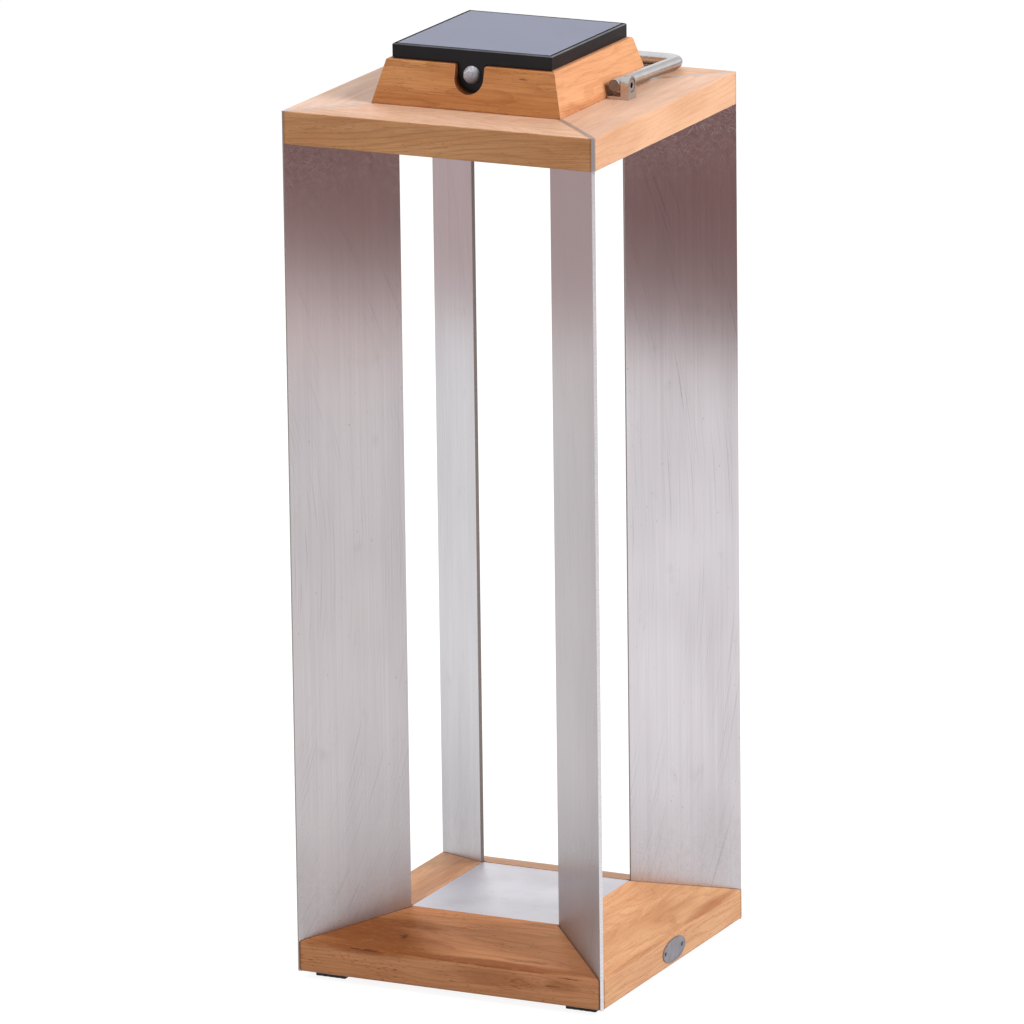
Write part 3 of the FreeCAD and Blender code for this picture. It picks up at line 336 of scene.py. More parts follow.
def welded(node):
    """Read a node's triangles with their shared points joined."""
    solid = bmesh.new()
    solid.from_mesh(NODES[node].data)
    bmesh.ops.remove_doubles(solid, verts=solid.verts, dist=WELD)
    return solid


def joined_copy(node, name):
    """Copy a node's mesh with its triangles joined into whole faces."""
    solid = welded(node)
    bmesh.ops.dissolve_limit(
        solid, angle_limit=math.radians(0.4), use_dissolve_boundaries=False,
        verts=solid.verts, edges=solid.edges,
    )
    mesh = bpy.data.meshes.new(name)
    points = [tuple(vertex.co) for vertex in solid.verts]
    solid.verts.index_update()
    mesh.from_pydata(points, [], [[vertex.index for vertex in face.verts] for face in solid.faces])
    solid.free()
    return new_object(name, mesh)


def middles(node):
    """The middles, seen from above, of the separate solids in a node."""
    solid = welded(node)
    left = set(solid.verts)
    found = []
    while left:
        group, queue = [], [left.pop()]
        while queue:
            vertex = queue.pop()
            group.append(vertex.co.copy())
            for edge in vertex.link_edges:
                other = edge.other_vert(vertex)
                if other in left:
                    left.remove(other)
                    queue.append(other)
        sides = [[point[axis] for point in group] for axis in range(2)]
        found.append(tuple((min(side) + max(side)) / 2 for side in sides))
    solid.free()
    return sorted(found)


def round_edges(piece, edge, degrees=32.0):
    """Round a piece's edges, with the light falling evenly on the flats between them."""
    bevel = piece.modifiers.new("Rounding", "BEVEL")
    bevel.width = edge
    bevel.segments = 2
    bevel.limit_method = "ANGLE"
    bevel.angle_limit = math.radians(degrees)
    bevel.miter_outer = "MITER_ARC"
    bevel.material = len(piece.data.materials) - 1
    piece.data.polygons.foreach_set("use_smooth", [True] * len(piece.data.polygons))
    flats = piece.modifiers.new("Flats", "WEIGHTED_NORMAL")
    flats.weight = 100
    return settle(piece)


def mark_rounding(piece):
    """Turn the second finish that the rounded faces have into a mark that the finish itself can read."""
    faces = piece.data.polygons
    marks = piece.data.attributes.new("rounded", "FLOAT", "FACE")
    marks.data.foreach_set("value", [float(face.material_index) for face in faces])
    faces.foreach_set("material_index", [0] * len(faces))
    piece.data.materials.pop(index=1)


def dressed(node, material, edge=0.0, degrees=32.0, cutter=None):
    """Replace a node by a copy, cut by a shape if one is given, with rounded edges and smooth shading."""
    piece = joined_copy(node, f"{node}_finished")
    piece.data.materials.append(material)
    if cutter:
        cut_by(piece, cutter)
    if edge:
        piece.data.materials.append(material)
        round_edges(piece, edge, degrees)
        mark_rounding(piece)
    else:
        shaded(piece, degrees)
    return stands_for(piece, node)


def second_finish(piece, material, chosen):
    """Give the faces that a test picks by their middle and normal another finish."""
    piece.data.materials.append(material)
    for face in piece.data.polygons:
        if chosen(face.center, face.normal):
            face.material_index = len(piece.data.materials) - 1


def paint(material, *nodes):
    """Give nodes that keep their own shape a finish."""
    for node in nodes:
        NODES[node].data.materials.clear()
        NODES[node].data.materials.append(material)


# Finishes

def spots(tree, flat, fray, shift, marks, others):
    """Add long frayed spots to a mask, each with its place, height, half length, half height and strength."""
    for middle, height, half_long, half_high, strength in marks:
        aside = add(tree, "ShaderNodeVectorMath", (flat, (middle + shift, 0.0, height)), operation="SUBTRACT")
        shares = (1 / half_long, 0.0, 1 / half_high)
        reach = add(tree, "ShaderNodeVectorMath", (aside, shares), operation="MULTIPLY")
        far = add(tree, "ShaderNodeVectorMath", (reach,), "Value", operation="LENGTH")
        frayed = add(tree, "ShaderNodeMath", (fray, 2.2, far), operation="MULTIPLY_ADD")
        spot = add(tree, "ShaderNodeMapRange", (frayed, 1.45, 2.2, strength, 0.0), **EASED)
        others = add(tree, "ShaderNodeMath", (others, spot), operation="MAXIMUM")
    return others


def oiled_teak(name, along, pith, shift, look):
    """Oiled teak, planed and sanded: straight grain with light and dark flecks, old oil stains, a low sheen.

    along is the board's long axis, pith the place of the tree's middle across the board in millimetres, and
    shift moves the pattern along it. look says how far the board's sides and top are paled, partly by the sun
    and partly as painted sheen (bleach_and_sheen), how much old oil has reddened it at random (stain) and
    where it soaked in (soaks: place along the board, height, half the length, half the height and strength),
    where it has dark nicks and painted shadow lines (nicks_and_shade_lines, in the same way), how strong its
    pores are (pores), how dark its joints are with dirt and painted shade (joint_dirt_and_shade), how dark
    the painted shade on the walls of a cut notch is (notch_shade), how pale its rounded edges are painted as
    a highlight (worn), how orange it is (warm), how strong the grain is (grain) and how many degrees it runs
    out of the board (lean).
    """
    colours = bpy.context.scene.lantern_colours
    sizes = bpy.context.scene.lantern_sizes
    material, tree, inputs = new_finish(name)
    flat = in_millimetres(tree, 0.0 if along == "X" else -math.pi / 2, (shift, 0.0, 0.0))
    leaning = (0.0, math.radians(look["lean"]), 0.0)
    place = add(tree, "ShaderNodeMapping", {"Vector": flat, "Rotation": leaning})
    # Rings round the pith, pushed in and out along the board so that they close into long arches
    wander = clouds(tree, place, (190.0, 34.0, 34.0), 2.0, 0.45)
    ripple = clouds(tree, place, (36.0, 6.0, 6.0))
    from_pith = add(tree, "ShaderNodeVectorMath", (place, (0.0, *pith)), operation="SUBTRACT")
    across = add(tree, "ShaderNodeVectorMath", (from_pith, (0.0, 1.0, 1.0)), operation="MULTIPLY")
    radius = add(tree, "ShaderNodeVectorMath", (across,), "Value", operation="LENGTH")
    pushed = add(tree, "ShaderNodeMath", (wander, 34.0, radius), operation="MULTIPLY_ADD")
    rippled = add(tree, "ShaderNodeMath", (ripple, 2.4, pushed), operation="MULTIPLY_ADD")
    counted = add(tree, "ShaderNodeMath", (rippled, sizes.ring_pitch / MM), operation="DIVIDE")
    ring = add(tree, "ShaderNodeMath", (counted,), operation="FRACT")
    # Fibres, light and dark flecks, pores in clusters and slow changes of tone
    width = sizes.fibre_width / MM
    fibre = clouds(tree, place, (34.0, width, width), 3.0, 0.62)
    light_fleck = clouds(tree, place, (6.5, 0.8, 0.8), 1.0)
    dark_fleck = clouds(tree, place, (4.5, 0.65, 0.65), 1.0)
    patch = clouds(tree, place, (110.0, 24.0, 24.0), 3.0, 0.55)
    cluster = clouds(tree, place, (34.0, 12.0, 12.0), 1.0)
    gathered = add(tree, "ShaderNodeMath", (cluster, 0.3, dark_fleck), operation="MULTIPLY_ADD")
    pore = add(tree, "ShaderNodeMapRange", (gathered, 0.8, 0.9, 0.0, look["pores"]), **EASED)
    # Old oil, in blots at random and where it soaked in
    blots = clouds(tree, place, (130.0, 20.0, 20.0), 4.0, 0.55)
    blotted = add(tree, "ShaderNodeMapRange", (blots, 0.5, 0.66, 0.0, look["stain"]), **EASED)
    soaked = spots(tree, flat, blots, shift, look["soaks"], blotted)
    # The sun has paled top and sides, early and late wood alike, and painted sheen pales them further, most
    # on the tops; dust lies in narrow grey streaks
    outside = add(tree, "ShaderNodeNewGeometry", out="Normal")
    normal = add(tree, "ShaderNodeSeparateXYZ", (outside,)).node.outputs
    paled_and_lit = add(tree, "ShaderNodeMapRange", (normal["Z"], 0.9, 1.0, *look["bleach_and_sheen"]), **EASED)
    dust = clouds(tree, place, (150.0, 8.0, 30.0), 2.0, 0.55)
    weathered_and_lit = toned(tree, colours.teak_paled_and_lit, (dust, 0.48, 0.68, 0.0, 0.55, "#C2A188"))
    paled = toned(
        tree, colours.teak_pale,
        (patch, 0.3, 0.7, colours.teak_mid),
        (look["warm"], "#D67C3A"),
        (paled_and_lit, weathered_and_lit),
    )
    dark = toned(tree, colours.teak_deep, (paled_and_lit, "#CFA17E"))
    wood = toned(
        tree, paled,
        (ring, 0.55, 0.97, 0.0, 0.36 * look["grain"], dark),
        (fibre, 0.4, 0.75, 0.0, 0.5 * look["grain"], dark),
        (soaked, colours.teak_stain),
        (light_fleck, 0.56, 0.74, 0.0, 0.34, paled),
        (pore, colours.teak_stain),
    )
    # Dark nicks, and painted shadow lines where the hood meets the top board
    if look["nicks_and_shade_lines"]:
        nicked_and_shaded = spots(tree, flat, light_fleck, shift, look["nicks_and_shade_lines"], 0.0)
        wood = toned(tree, wood, (nicked_and_shaded, colours.teak_dark_and_shade))
    if look["joint_dirt_and_shade"]:
        # Dust and oil, and painted shade, in the joint where the mitred end meets its plate
        from_middle = add(tree, "ShaderNodeVectorMath", (flat, (shift, 0.0, 0.0)), operation="SUBTRACT")
        apart = add(tree, "ShaderNodeVectorMath", (from_middle,), operation="ABSOLUTE")
        parts = add(tree, "ShaderNodeSeparateXYZ", (apart,)).node.outputs
        gap = add(tree, "ShaderNodeMath", (parts["X"], parts["Y"]), operation="SUBTRACT")
        beside = add(tree, "ShaderNodeMath", (gap,), operation="ABSOLUTE")
        wood = toned(tree, wood, (beside, 2.1, 3.9, look["joint_dirt_and_shade"], 0.0, colours.teak_dark_and_shade))
    if look["notch_shade"]:
        # Painted shade on the walls of the notch, which face neither front nor back
        facing = add(tree, "ShaderNodeMath", (normal["Y"],), operation="ABSOLUTE")
        wood = toned(tree, wood, (facing, 0.2, 0.6, look["notch_shade"], 0.0, colours.teak_dark_and_shade))
    # Painted highlight: worn says how far the rounded edges are paled, as if they caught the light
    rounded = add(tree, "ShaderNodeAttribute", out="Fac", attribute_name="rounded")
    wood = toned(tree, wood, (rounded, 0.0, 1.0, 0.0, look["worn"], colours.teak_paled_and_lit))
    relief = add(tree, "ShaderNodeMath", (pore, -1.6, fibre), operation="MULTIPLY_ADD")
    surface(
        tree, inputs, wood, (fibre, 0.2, 0.8, 0.44, 0.6), (relief, 0.08, 0.5),
        IOR=1.5, Specular__IOR__Level=0.3,
    )
    return material


def turned_beech():
    """Beech dowel, turned: pale even wood with short dark flecks."""
    material, tree, inputs = new_finish("turned_beech")
    fleck = clouds(tree, in_millimetres(tree), (1.2, 1.2, 4.0))
    wood = toned(tree, linear("#D9B88C"), (fleck, 0.58, 0.7, 0.0, 0.5, "#A97F52"))
    feed(tree, inputs, {"Base Color": wood, "Roughness": 0.55})
    return material


def scratches(tree, place, leans, span, low, high):
    """Give a mask of fine scratches of some length in millimetres, leaning by these many degrees."""
    marks = 0.0
    for lean in leans:
        tilted = add(tree, "ShaderNodeMapping", {"Vector": place, "Rotation": (0.0, math.radians(lean), 0.0)})
        fine = clouds(tree, tilted, (0.5, 30.0, span), 1.0)
        hair = add(tree, "ShaderNodeMapRange", (fine, low, high), **EASED)
        marks = add(tree, "ShaderNodeMath", (hair, marks), operation="MAXIMUM")
    return marks


def arcs(tree, place, middle, low, high):
    """Give a mask of long hairlines that bend round a far middle, given across and up in millimetres."""
    aside = add(tree, "ShaderNodeVectorMath", (place, (middle[0], 0.0, middle[1])), operation="SUBTRACT")
    level = add(tree, "ShaderNodeVectorMath", (aside, (1.0, 0.0, 1.0)), operation="MULTIPLY")
    radius = add(tree, "ShaderNodeVectorMath", (level,), "Value", operation="LENGTH")
    parts = add(tree, "ShaderNodeSeparateXYZ", (level,)).node.outputs
    angle = add(tree, "ShaderNodeMath", (parts["Z"], parts["X"]), operation="ARCTAN2")
    # Neighbouring lines start at different places, because the way along them is shifted with the radius
    staggered = add(tree, "ShaderNodeMath", (radius, 5.3), operation="MULTIPLY")
    along = add(tree, "ShaderNodeMath", (angle, abs(middle[0]), staggered), operation="MULTIPLY_ADD")
    bent = add(tree, "ShaderNodeCombineXYZ", (radius, 0.0, along))
    return add(tree, "ShaderNodeMapRange", (clouds(tree, bent, (0.9, 30.0, 90.0), 1.0), low, high), **EASED)


def brushed_aluminium(name, turn, base, roughness, lie, lines, hairs=0.0, scuffs=0.0, blush=0.0):
    """Brushed aluminium sheet: fine straight lines, bent hairlines, smudges and specks, duller at its foot.

    turn brings the sheet's width to the X axis and lie is the axis that the brushing follows, which blurs
    reflections across it. lines says how strong the brushing is, hairs how strong the hairlines of a wiping
    hand are, scuffs how strong the pale scratches near the top are, and blush how warm the upper half is.
    """
    material, tree, inputs = new_finish(name)
    place = in_millimetres(tree, turn)
    height = add(tree, "ShaderNodeSeparateXYZ", (place,), "Z")
    width = bpy.context.scene.lantern_sizes.brush_width / MM
    runs = {"Z": (width, 40.0, 260.0), "X": (260.0, width, 40.0)}[lie]
    # Each line starts elsewhere than its neighbour, so that no row of ends shows
    lead = {"Z": (9.0, 0.0, 0.0), "X": (0.0, 9.0, 0.0)}[lie]
    lag = add(tree, "ShaderNodeVectorMath", (place, lead), "Value", operation="DOT_PRODUCT")
    aside = add(tree, "ShaderNodeCombineXYZ", {lie: lag})
    staggered = add(tree, "ShaderNodeVectorMath", (place, aside), operation="ADD")
    brush = clouds(tree, staggered, runs, 2.0, 0.6)
    band = clouds(tree, staggered, tuple(min(size * 5, 320.0) for size in runs), 3.0, 0.6)
    cloud = clouds(tree, place, (45.0, 45.0, 130.0))
    smudge = clouds(tree, place, (14.0, 14.0, 22.0), 2.0, 0.6)
    speck = clouds(tree, place, (1.5, 1.5, 1.9), 0.0)
    # Hairlines come and go across the brushing
    worn = add(tree, "ShaderNodeMapRange", (cloud, 0.4, 0.6, 0.25 * hairs, hairs), **EASED)
    wiped = arcs(tree, place, (-620.0, 300.0), 0.58, 0.76)
    scored = add(tree, "ShaderNodeMath", (wiped, worn), operation="MULTIPLY")
    # Pale scratches in all directions where a hand goes in under the top, and dark ones at the foot
    rubbed = scratches(tree, place, (24.0, 71.0, -48.0), 10.0, 0.5, 0.72)
    near = add(tree, "ShaderNodeMapRange", (height, 535.0, NEAR_TOP, 0.0, scuffs), **EASED)
    scuffed = add(tree, "ShaderNodeMath", (rubbed, near), operation="MULTIPLY")
    low = add(tree, "ShaderNodeMapRange", (height, 55.0, 110.0, 0.6 * hairs, 0.0), **EASED)
    kicked = add(tree, "ShaderNodeMath", (rubbed, low), operation="MULTIPLY")
    metal = toned(
        tree, base,
        (height, 390.0, 500.0, 0.0, blush, "#D8AAA2"),
        (cloud, 0.3, 0.75, 0.0, 0.24, "#A8A2A6"),
        (smudge, 0.6, 0.84, 0.0, 0.2, "#A39D9F"),
        (band, 0.35, 0.75, 0.0, 0.12 * lines, "#B09F9C"),
        (brush, 0.3, 0.75, 0.0, 0.14 * lines, "#A5A0A4"),
        (scored, "#8E898D"),
        (speck, 0.8, 0.86, 0.0, 0.5, "#766E6B"),
        (scuffed, WHITE),
        (kicked, "#8E898D"),
    )
    dulled = add(tree, "ShaderNodeMapRange", (height, 30.0, 190.0, roughness + 0.2, roughness), **EASED)
    roughened = add(tree, "ShaderNodeMath", (scuffed, 0.4, dulled), operation="MULTIPLY_ADD")
    rough = add(tree, "ShaderNodeMath", (brush, 0.04 * lines, roughened), operation="MULTIPLY_ADD")
    across = add(tree, "ShaderNodeCombineXYZ", (math.cos(turn), -math.sin(turn), 0.0))
    feed(tree, inputs, {
        "Base Color": metal, "Metallic": 1.0, "Roughness": rough, "Anisotropic": 0.9, "Tangent": across,
    })
    return material


def sawn_aluminium(name, pale, grey, end):
    """Sawn and deburred edge of the sheet: matt, with fine marks across it, grimy between the top boards.

    pale and grey are the tones of its marks, and end is the tone of the plate's upper end.
    """
    material, tree, inputs = new_finish(name)
    place = in_millimetres(tree)
    mark = clouds(tree, place, (12.0, 12.0, 0.6), 2.0, 0.6)
    height = add(tree, "ShaderNodeSeparateXYZ", (place,), "Z")
    up = add(tree, "ShaderNodeSeparateXYZ", (add(tree, "ShaderNodeNewGeometry", out="Normal"),), "Z")
    metal = toned(
        tree, linear(pale),
        (mark, 0.3, 0.7, grey),
        (height, NEAR_TOP, NEAR_TOP + 6.0, 0.0, 0.8, "#908C90"),
        (up, 0.7, 0.95, 0.0, 0.9, end),
    )
    surface(tree, inputs, metal, (mark, 0.3, 0.7, 0.36, 0.46), Metallic=0.75)
    return material


def satin_stainless(name, base, roughness, line_width, ground=0.0):
    """Stainless steel, satin polished: bright, softly blurred reflections, hardly any lines, painted shade
    underneath.

    ground says how much rougher its faces to the left and right were ground, which makes them pale and even.
    """
    material, tree, inputs = new_finish(name)
    place = in_millimetres(tree)
    line = clouds(tree, place, (line_width, 20.0, line_width), 3.0, 0.6)
    smear = clouds(tree, place, (9.0, 14.0, 9.0))
    outside = add(tree, "ShaderNodeNewGeometry", out="Normal")
    normal = add(tree, "ShaderNodeSeparateXYZ", (outside,)).node.outputs
    # Painted shade: faces that look down are darkened, standing in for the shaded wood they reflect
    steel = toned(
        tree, base,
        (smear, 0.3, 0.7, 0.0, 0.3, "#C4C1C1"),
        (line, 0.4, 0.75, 0.0, 0.08, "#9D9A99"),
        (normal["Z"], -0.7, 0.1, 0.75, 0.0, "#564A44"),
    )
    limits = (line, 0.25, 0.75, roughness - 0.04, roughness + 0.04)
    polished = add(tree, "ShaderNodeMapRange", limits, **EASED)
    sideways = add(tree, "ShaderNodeMath", (normal["X"],), operation="ABSOLUTE")
    flat = add(tree, "ShaderNodeMapRange", (sideways, 0.9, 0.98), **EASED)
    rough = add(tree, "ShaderNodeMath", (flat, ground, polished), operation="MULTIPLY_ADD")
    feed(tree, inputs, {"Base Color": steel, "Metallic": 1.0, "Roughness": rough})
    return material


def dull_nickel():
    """Stamped and tumbled nickel plate: soft grey with fine pits and darker hollows."""
    material, tree, inputs = new_finish("dull_nickel")
    place = in_millimetres(tree)
    pit = clouds(tree, place, (0.7, 0.7, 0.7), 3.0, 0.6)
    cloud = clouds(tree, place, (6.0, 6.0, 6.0))
    metal = toned(tree, bpy.context.scene.lantern_colours.pewter, (cloud, 0.35, 0.7, 0.0, 0.6, "#85838A"))
    surface(tree, inputs, metal, (pit, 0.2, 0.8, 0.36, 0.5), (pit, 0.03, 0.5), Metallic=1.0)
    return material


def zinc_plating():
    """Bright zinc plating on screws: cool grey with faint clouding."""
    material, tree, inputs = new_finish("zinc_plating")
    cloud = clouds(tree, in_millimetres(tree), (1.6, 1.6, 1.6), 3.0, 0.6)
    metal = toned(tree, bpy.context.scene.lantern_colours.zinc, (cloud, 0.3, 0.7, "#9C9E9F"))
    surface(tree, inputs, metal, (cloud, 0.2, 0.8, 0.24, 0.4), Metallic=1.0)
    return material


def moulded_plastic(name, base, sheen, grit, roughness=0.34):
    """Injection moulded ABS: even colour, a fine spark-eroded grain and a soft sheen."""
    material, tree, inputs = new_finish(name)
    place = in_millimetres(tree)
    grain = clouds(tree, place, (grit, grit, grit), 2.0, 0.6)
    plastic = toned(tree, base, (clouds(tree, place, (14.0, 14.0, 14.0)), 0.35, 0.7, sheen))
    rough = (grain, 0.25, 0.75, roughness - 0.06, roughness + 0.08)
    surface(tree, inputs, plastic, rough, (grain, 0.01, 0.4), IOR=1.46, Specular__IOR__Level=0.3)
    return material


def black_rubber():
    """Moulded EPDM rubber: deep matt black, greyed a little by dust."""
    material, tree, inputs = new_finish("black_rubber")
    dust = clouds(tree, in_millimetres(tree), (2.2, 2.2, 2.2), 3.0, 0.6)
    base = bpy.context.scene.lantern_colours.rubber_black
    rubber = toned(tree, base, (dust, 0.5, 0.8, 0.0, 0.5, "#3A3836"))
    surface(tree, inputs, rubber, (dust, 0.2, 0.8, 0.66, 0.84), (dust, 0.05, 0.4), IOR=1.52)
    return material


def panel_glass():
    """Tempered solar glass: satin and smoky blue, so that the cells hardly show, bright at low angles."""
    material, tree, inputs = new_finish("panel_glass")
    place = in_millimetres(tree)
    wave = clouds(tree, place, (3.0, 3.0, 3.0))
    cast = clouds(tree, place, (45.0, 45.0, 45.0))
    smoke = toned(tree, bpy.context.scene.lantern_colours.glass_blue, (cast, 0.3, 0.7, "#3C4C86"))
    surface(
        tree, inputs, smoke, (wave, 0.3, 0.7, 0.1, 0.16), (wave, 0.004, 0.3),
        IOR=1.54, Transmission__Weight=0.5,
    )
    return material


def silicon_cell():
    """Polycrystalline silicon: dark blue facets a few millimetres wide."""
    material, tree, inputs = new_finish("silicon_cell")
    place = in_millimetres(tree)
    scaled = add(tree, "ShaderNodeVectorMath", (place, (0.22, 0.22, 0.22)), operation="MULTIPLY")
    crystal = add(tree, "ShaderNodeTexVoronoi", {"Vector": scaled, "Scale": 1.0, "Randomness": 1.0}, "Color")
    shade = add(tree, "ShaderNodeSeparateColor", (crystal,))
    silicon = toned(tree, bpy.context.scene.lantern_colours.cell_blue, (shade, 0.0, 1.0, 0.0, 0.6, "#1B2038"))
    surface(tree, inputs, silicon, (shade, 0.0, 1.0, 0.22, 0.4), IOR=2.0)
    return material


def silver_paste():
    """Screen-printed silver: matt pale grey with a fine grain."""
    material, tree, inputs = new_finish("silver_paste")
    grain = clouds(tree, in_millimetres(tree), (0.4, 0.4, 0.4))
    paste = toned(tree, linear("#B9BBC2"), (grain, 0.3, 0.7, "#8E9199"))
    surface(tree, inputs, paste, (grain, 0.3, 0.7, 0.4, 0.55), Metallic=0.8)
    return material


def milky_polyethylene(middle):
    """Moulded polyethylene of a sensor dome: milky and waxy, painted lighter on its upper left and darker on
    its lower right, with painted glints.
    """
    material, tree, inputs = new_finish("milky_polyethylene")
    place = in_millimetres(tree, 0.0, tuple(-value / MM for value in middle))
    haze = clouds(tree, place, (1.6, 1.6, 1.6))
    # Painted light and shade: lighter towards the upper left, darker towards the lower right
    toward_light = add(tree, "ShaderNodeVectorMath", (place, (-0.75, 0.0, 0.66)), "Value", operation="DOT_PRODUCT")
    haze_and_painted_light = add(tree, "ShaderNodeMath", (haze, 5.0, toward_light), operation="MULTIPLY_ADD")
    bright = add(tree, "ShaderNodeMapRange", (toward_light, -1.0, 5.0), **EASED)
    # Painted glints, strongest on the lit upper left
    spark = add(tree, "ShaderNodeMapRange", (clouds(tree, place, (1.1, 1.1, 1.1), 0.0), 0.52, 0.66), **EASED)
    glint = add(tree, "ShaderNodeMath", (spark, bright), operation="MULTIPLY")
    milk = toned(
        tree, linear("#7B797F"),
        (haze_and_painted_light, -3.0, 7.0, bpy.context.scene.lantern_colours.lens_milk_lit),
        (glint, "#F2F2F8"),
    )
    surface(
        tree, inputs, milk, (haze, 0.3, 0.7, 0.18, 0.3), IOR=1.54, Subsurface__Weight=0.2,
        Subsurface__Radius=(1.0, 1.0, 1.0), Subsurface__Scale=0.8 * MM,
    )
    return material


def opal_acrylic():
    """Opal acrylic: even milky white with a soft gloss."""
    material, tree, inputs = new_finish("opal_acrylic")
    haze = clouds(tree, in_millimetres(tree), (9.0, 9.0, 9.0))
    milk = toned(tree, linear("#F0EFEA"), (haze, 0.3, 0.7, "#E2E1DC"))
    surface(
        tree, inputs, milk, (haze, 0.3, 0.7, 0.28, 0.36), IOR=1.49, Subsurface__Weight=0.3,
        Subsurface__Radius=(1.0, 1.0, 1.0), Subsurface__Scale=2 * MM,
    )
    return material


def speckled(name, first, second, size, roughness, metallic=0.0):
    """A plain lacquer, wrap, plating or cut end of a small piece: two close shades in small clouds."""
    material, tree, inputs = new_finish(name)
    cloud = clouds(tree, in_millimetres(tree), (size, size, size), 3.0, 0.6)
    coat = toned(tree, linear(first), (cloud, 0.35, 0.65, second))
    surface(tree, inputs, coat, (cloud, 0.2, 0.8, roughness - 0.05, roughness + 0.08), Metallic=metallic)
    return material


# Rules for what repeats

def new_rule(name, **kinds):
    """Start a geometry node tree with named inputs and give it with its input sockets."""
    tree = bpy.data.node_groups.new(name, "GeometryNodeTree")
    tree.interface.new_socket("Geometry", in_out="INPUT", socket_type="NodeSocketGeometry")
    for label, kind in kinds.items():
        tree.interface.new_socket(label, in_out="INPUT", socket_type=f"NodeSocket{kind}")
    tree.interface.new_socket("Geometry", in_out="OUTPUT", socket_type="NodeSocketGeometry")
    entry = tree.nodes.new("NodeGroupInput")
    return tree, entry.outputs


def end_rule(tree, geometry, finish):
    """Close a tree with real geometry in one finish."""
    real = add(tree, "GeometryNodeRealizeInstances", {"Geometry": geometry})
    painted = add(tree, "GeometryNodeSetMaterial", {"Geometry": real, "Material": finish})
    leave = tree.nodes.new("NodeGroupOutput")
    tree.links.new(painted, leave.inputs["Geometry"])
    return tree


def repeat_rule():
    """A piece set at every point of a mesh, each turned at random up to a limit."""
    tree, given = new_rule("set_at_points", Piece="Object", Turn="Vector", Seed="Int", Finish="Material")
    points = add(tree, "GeometryNodeMeshToPoints", {"Mesh": given["Geometry"]})
    shape = add(tree, "GeometryNodeObjectInfo", {"Object": given["Piece"]}, "Geometry")
    turned = {"Max": given["Turn"], "Seed": given["Seed"]}
    turn = add(tree, "FunctionNodeRandomValue", turned, data_type="FLOAT_VECTOR")
    set_out = {"Points": points, "Instance": shape, "Rotation": turn}
    return end_rule(tree, add(tree, "GeometryNodeInstanceOnPoints", set_out), given["Finish"])


def facet_rule():
    """Every face of a dome raised into a facet of its own, with a groove round it."""
    tree, given = new_rule("raised_facets", Lift="Float", Share="Float", Finish="Material")
    raised = {"Mesh": given["Geometry"], "Offset Scale": given["Lift"], "Individual": True}
    solid = add(tree, "GeometryNodeExtrudeMesh", raised, mode="FACES")
    narrowed = {"Geometry": solid, "Selection": solid.node.outputs["Top"], "Scale": given["Share"]}
    return end_rule(tree, add(tree, "GeometryNodeScaleElements", narrowed, domain="FACE"), given["Finish"])


def follow(piece, tree, **given):
    """Let a tree change the mesh of a piece."""
    modifier = piece.modifiers.new("Rule", "NODES")
    modifier.node_group = tree
    for item in tree.interface.items_tree:
        if item.in_out == "INPUT" and item.name in given:
            modifier[item.identifier] = given[item.name]
    return settle(piece)


def repeated(name, pattern, points, material, turn=0.0, seed=1):
    """Set copies of a pattern object at points and remove the pattern."""
    mesh = bpy.data.meshes.new(name)
    mesh.from_pydata(points, [], [])
    piece = new_object(name, mesh)
    follow(piece, repeat_rule(), Piece=pattern, Turn=(0.0, 0.0, turn), Seed=seed, Finish=material)
    bpy.data.objects.remove(pattern)
    return piece


def cross_screw(name, head, head_thick, shank, long):
    """A screw with a domed head and a cross recess, its head's underside at the origin and its tip down."""
    profile = [
        (shank * 0.3, -long), (shank, -long + shank), (shank, 0.0), (head, 0.0),
        (head * 0.96, head_thick * 0.55), (head * 0.82, head_thick * 0.86), (head * 0.55, head_thick),
    ]
    screw = skin(name, [[(x, y, height) for x, y in circle(radius, 32)] for radius, height in profile])
    reach, thin, depth = head * 0.62, head * 0.13, head_thick * 0.75
    bars = []
    for half_x, half_y in ((reach, thin), (thin, reach)):
        ends = (head_thick - depth, head_thick * 1.5)
        bars.append(skin(f"{name}_recess", [oblong(half_x, half_y, end) for end in ends]))
    cut_by(screw, *bars)
    return shaded(screw)


def screw_set(node, head, head_thick, shank, heads_up, material):
    """Replace a node of upright screws, given their heads' radius and height and their shanks' radius."""
    low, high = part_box(node)
    pattern = cross_screw(f"{node}_pattern", head, head_thick, shank, high.z - low.z - head_thick)
    if not heads_up:
        pattern.data.transform(Matrix.Rotation(math.pi, 4, "X"))
    head_at = high.z - head_thick if heads_up else low.z + head_thick
    points = [(x, y, head_at) for x, y in middles(node)]
    piece = repeated(f"{node}_finished", pattern, points, material, math.pi, len(points))
    return stands_for(shaded(piece), node)


# Operators

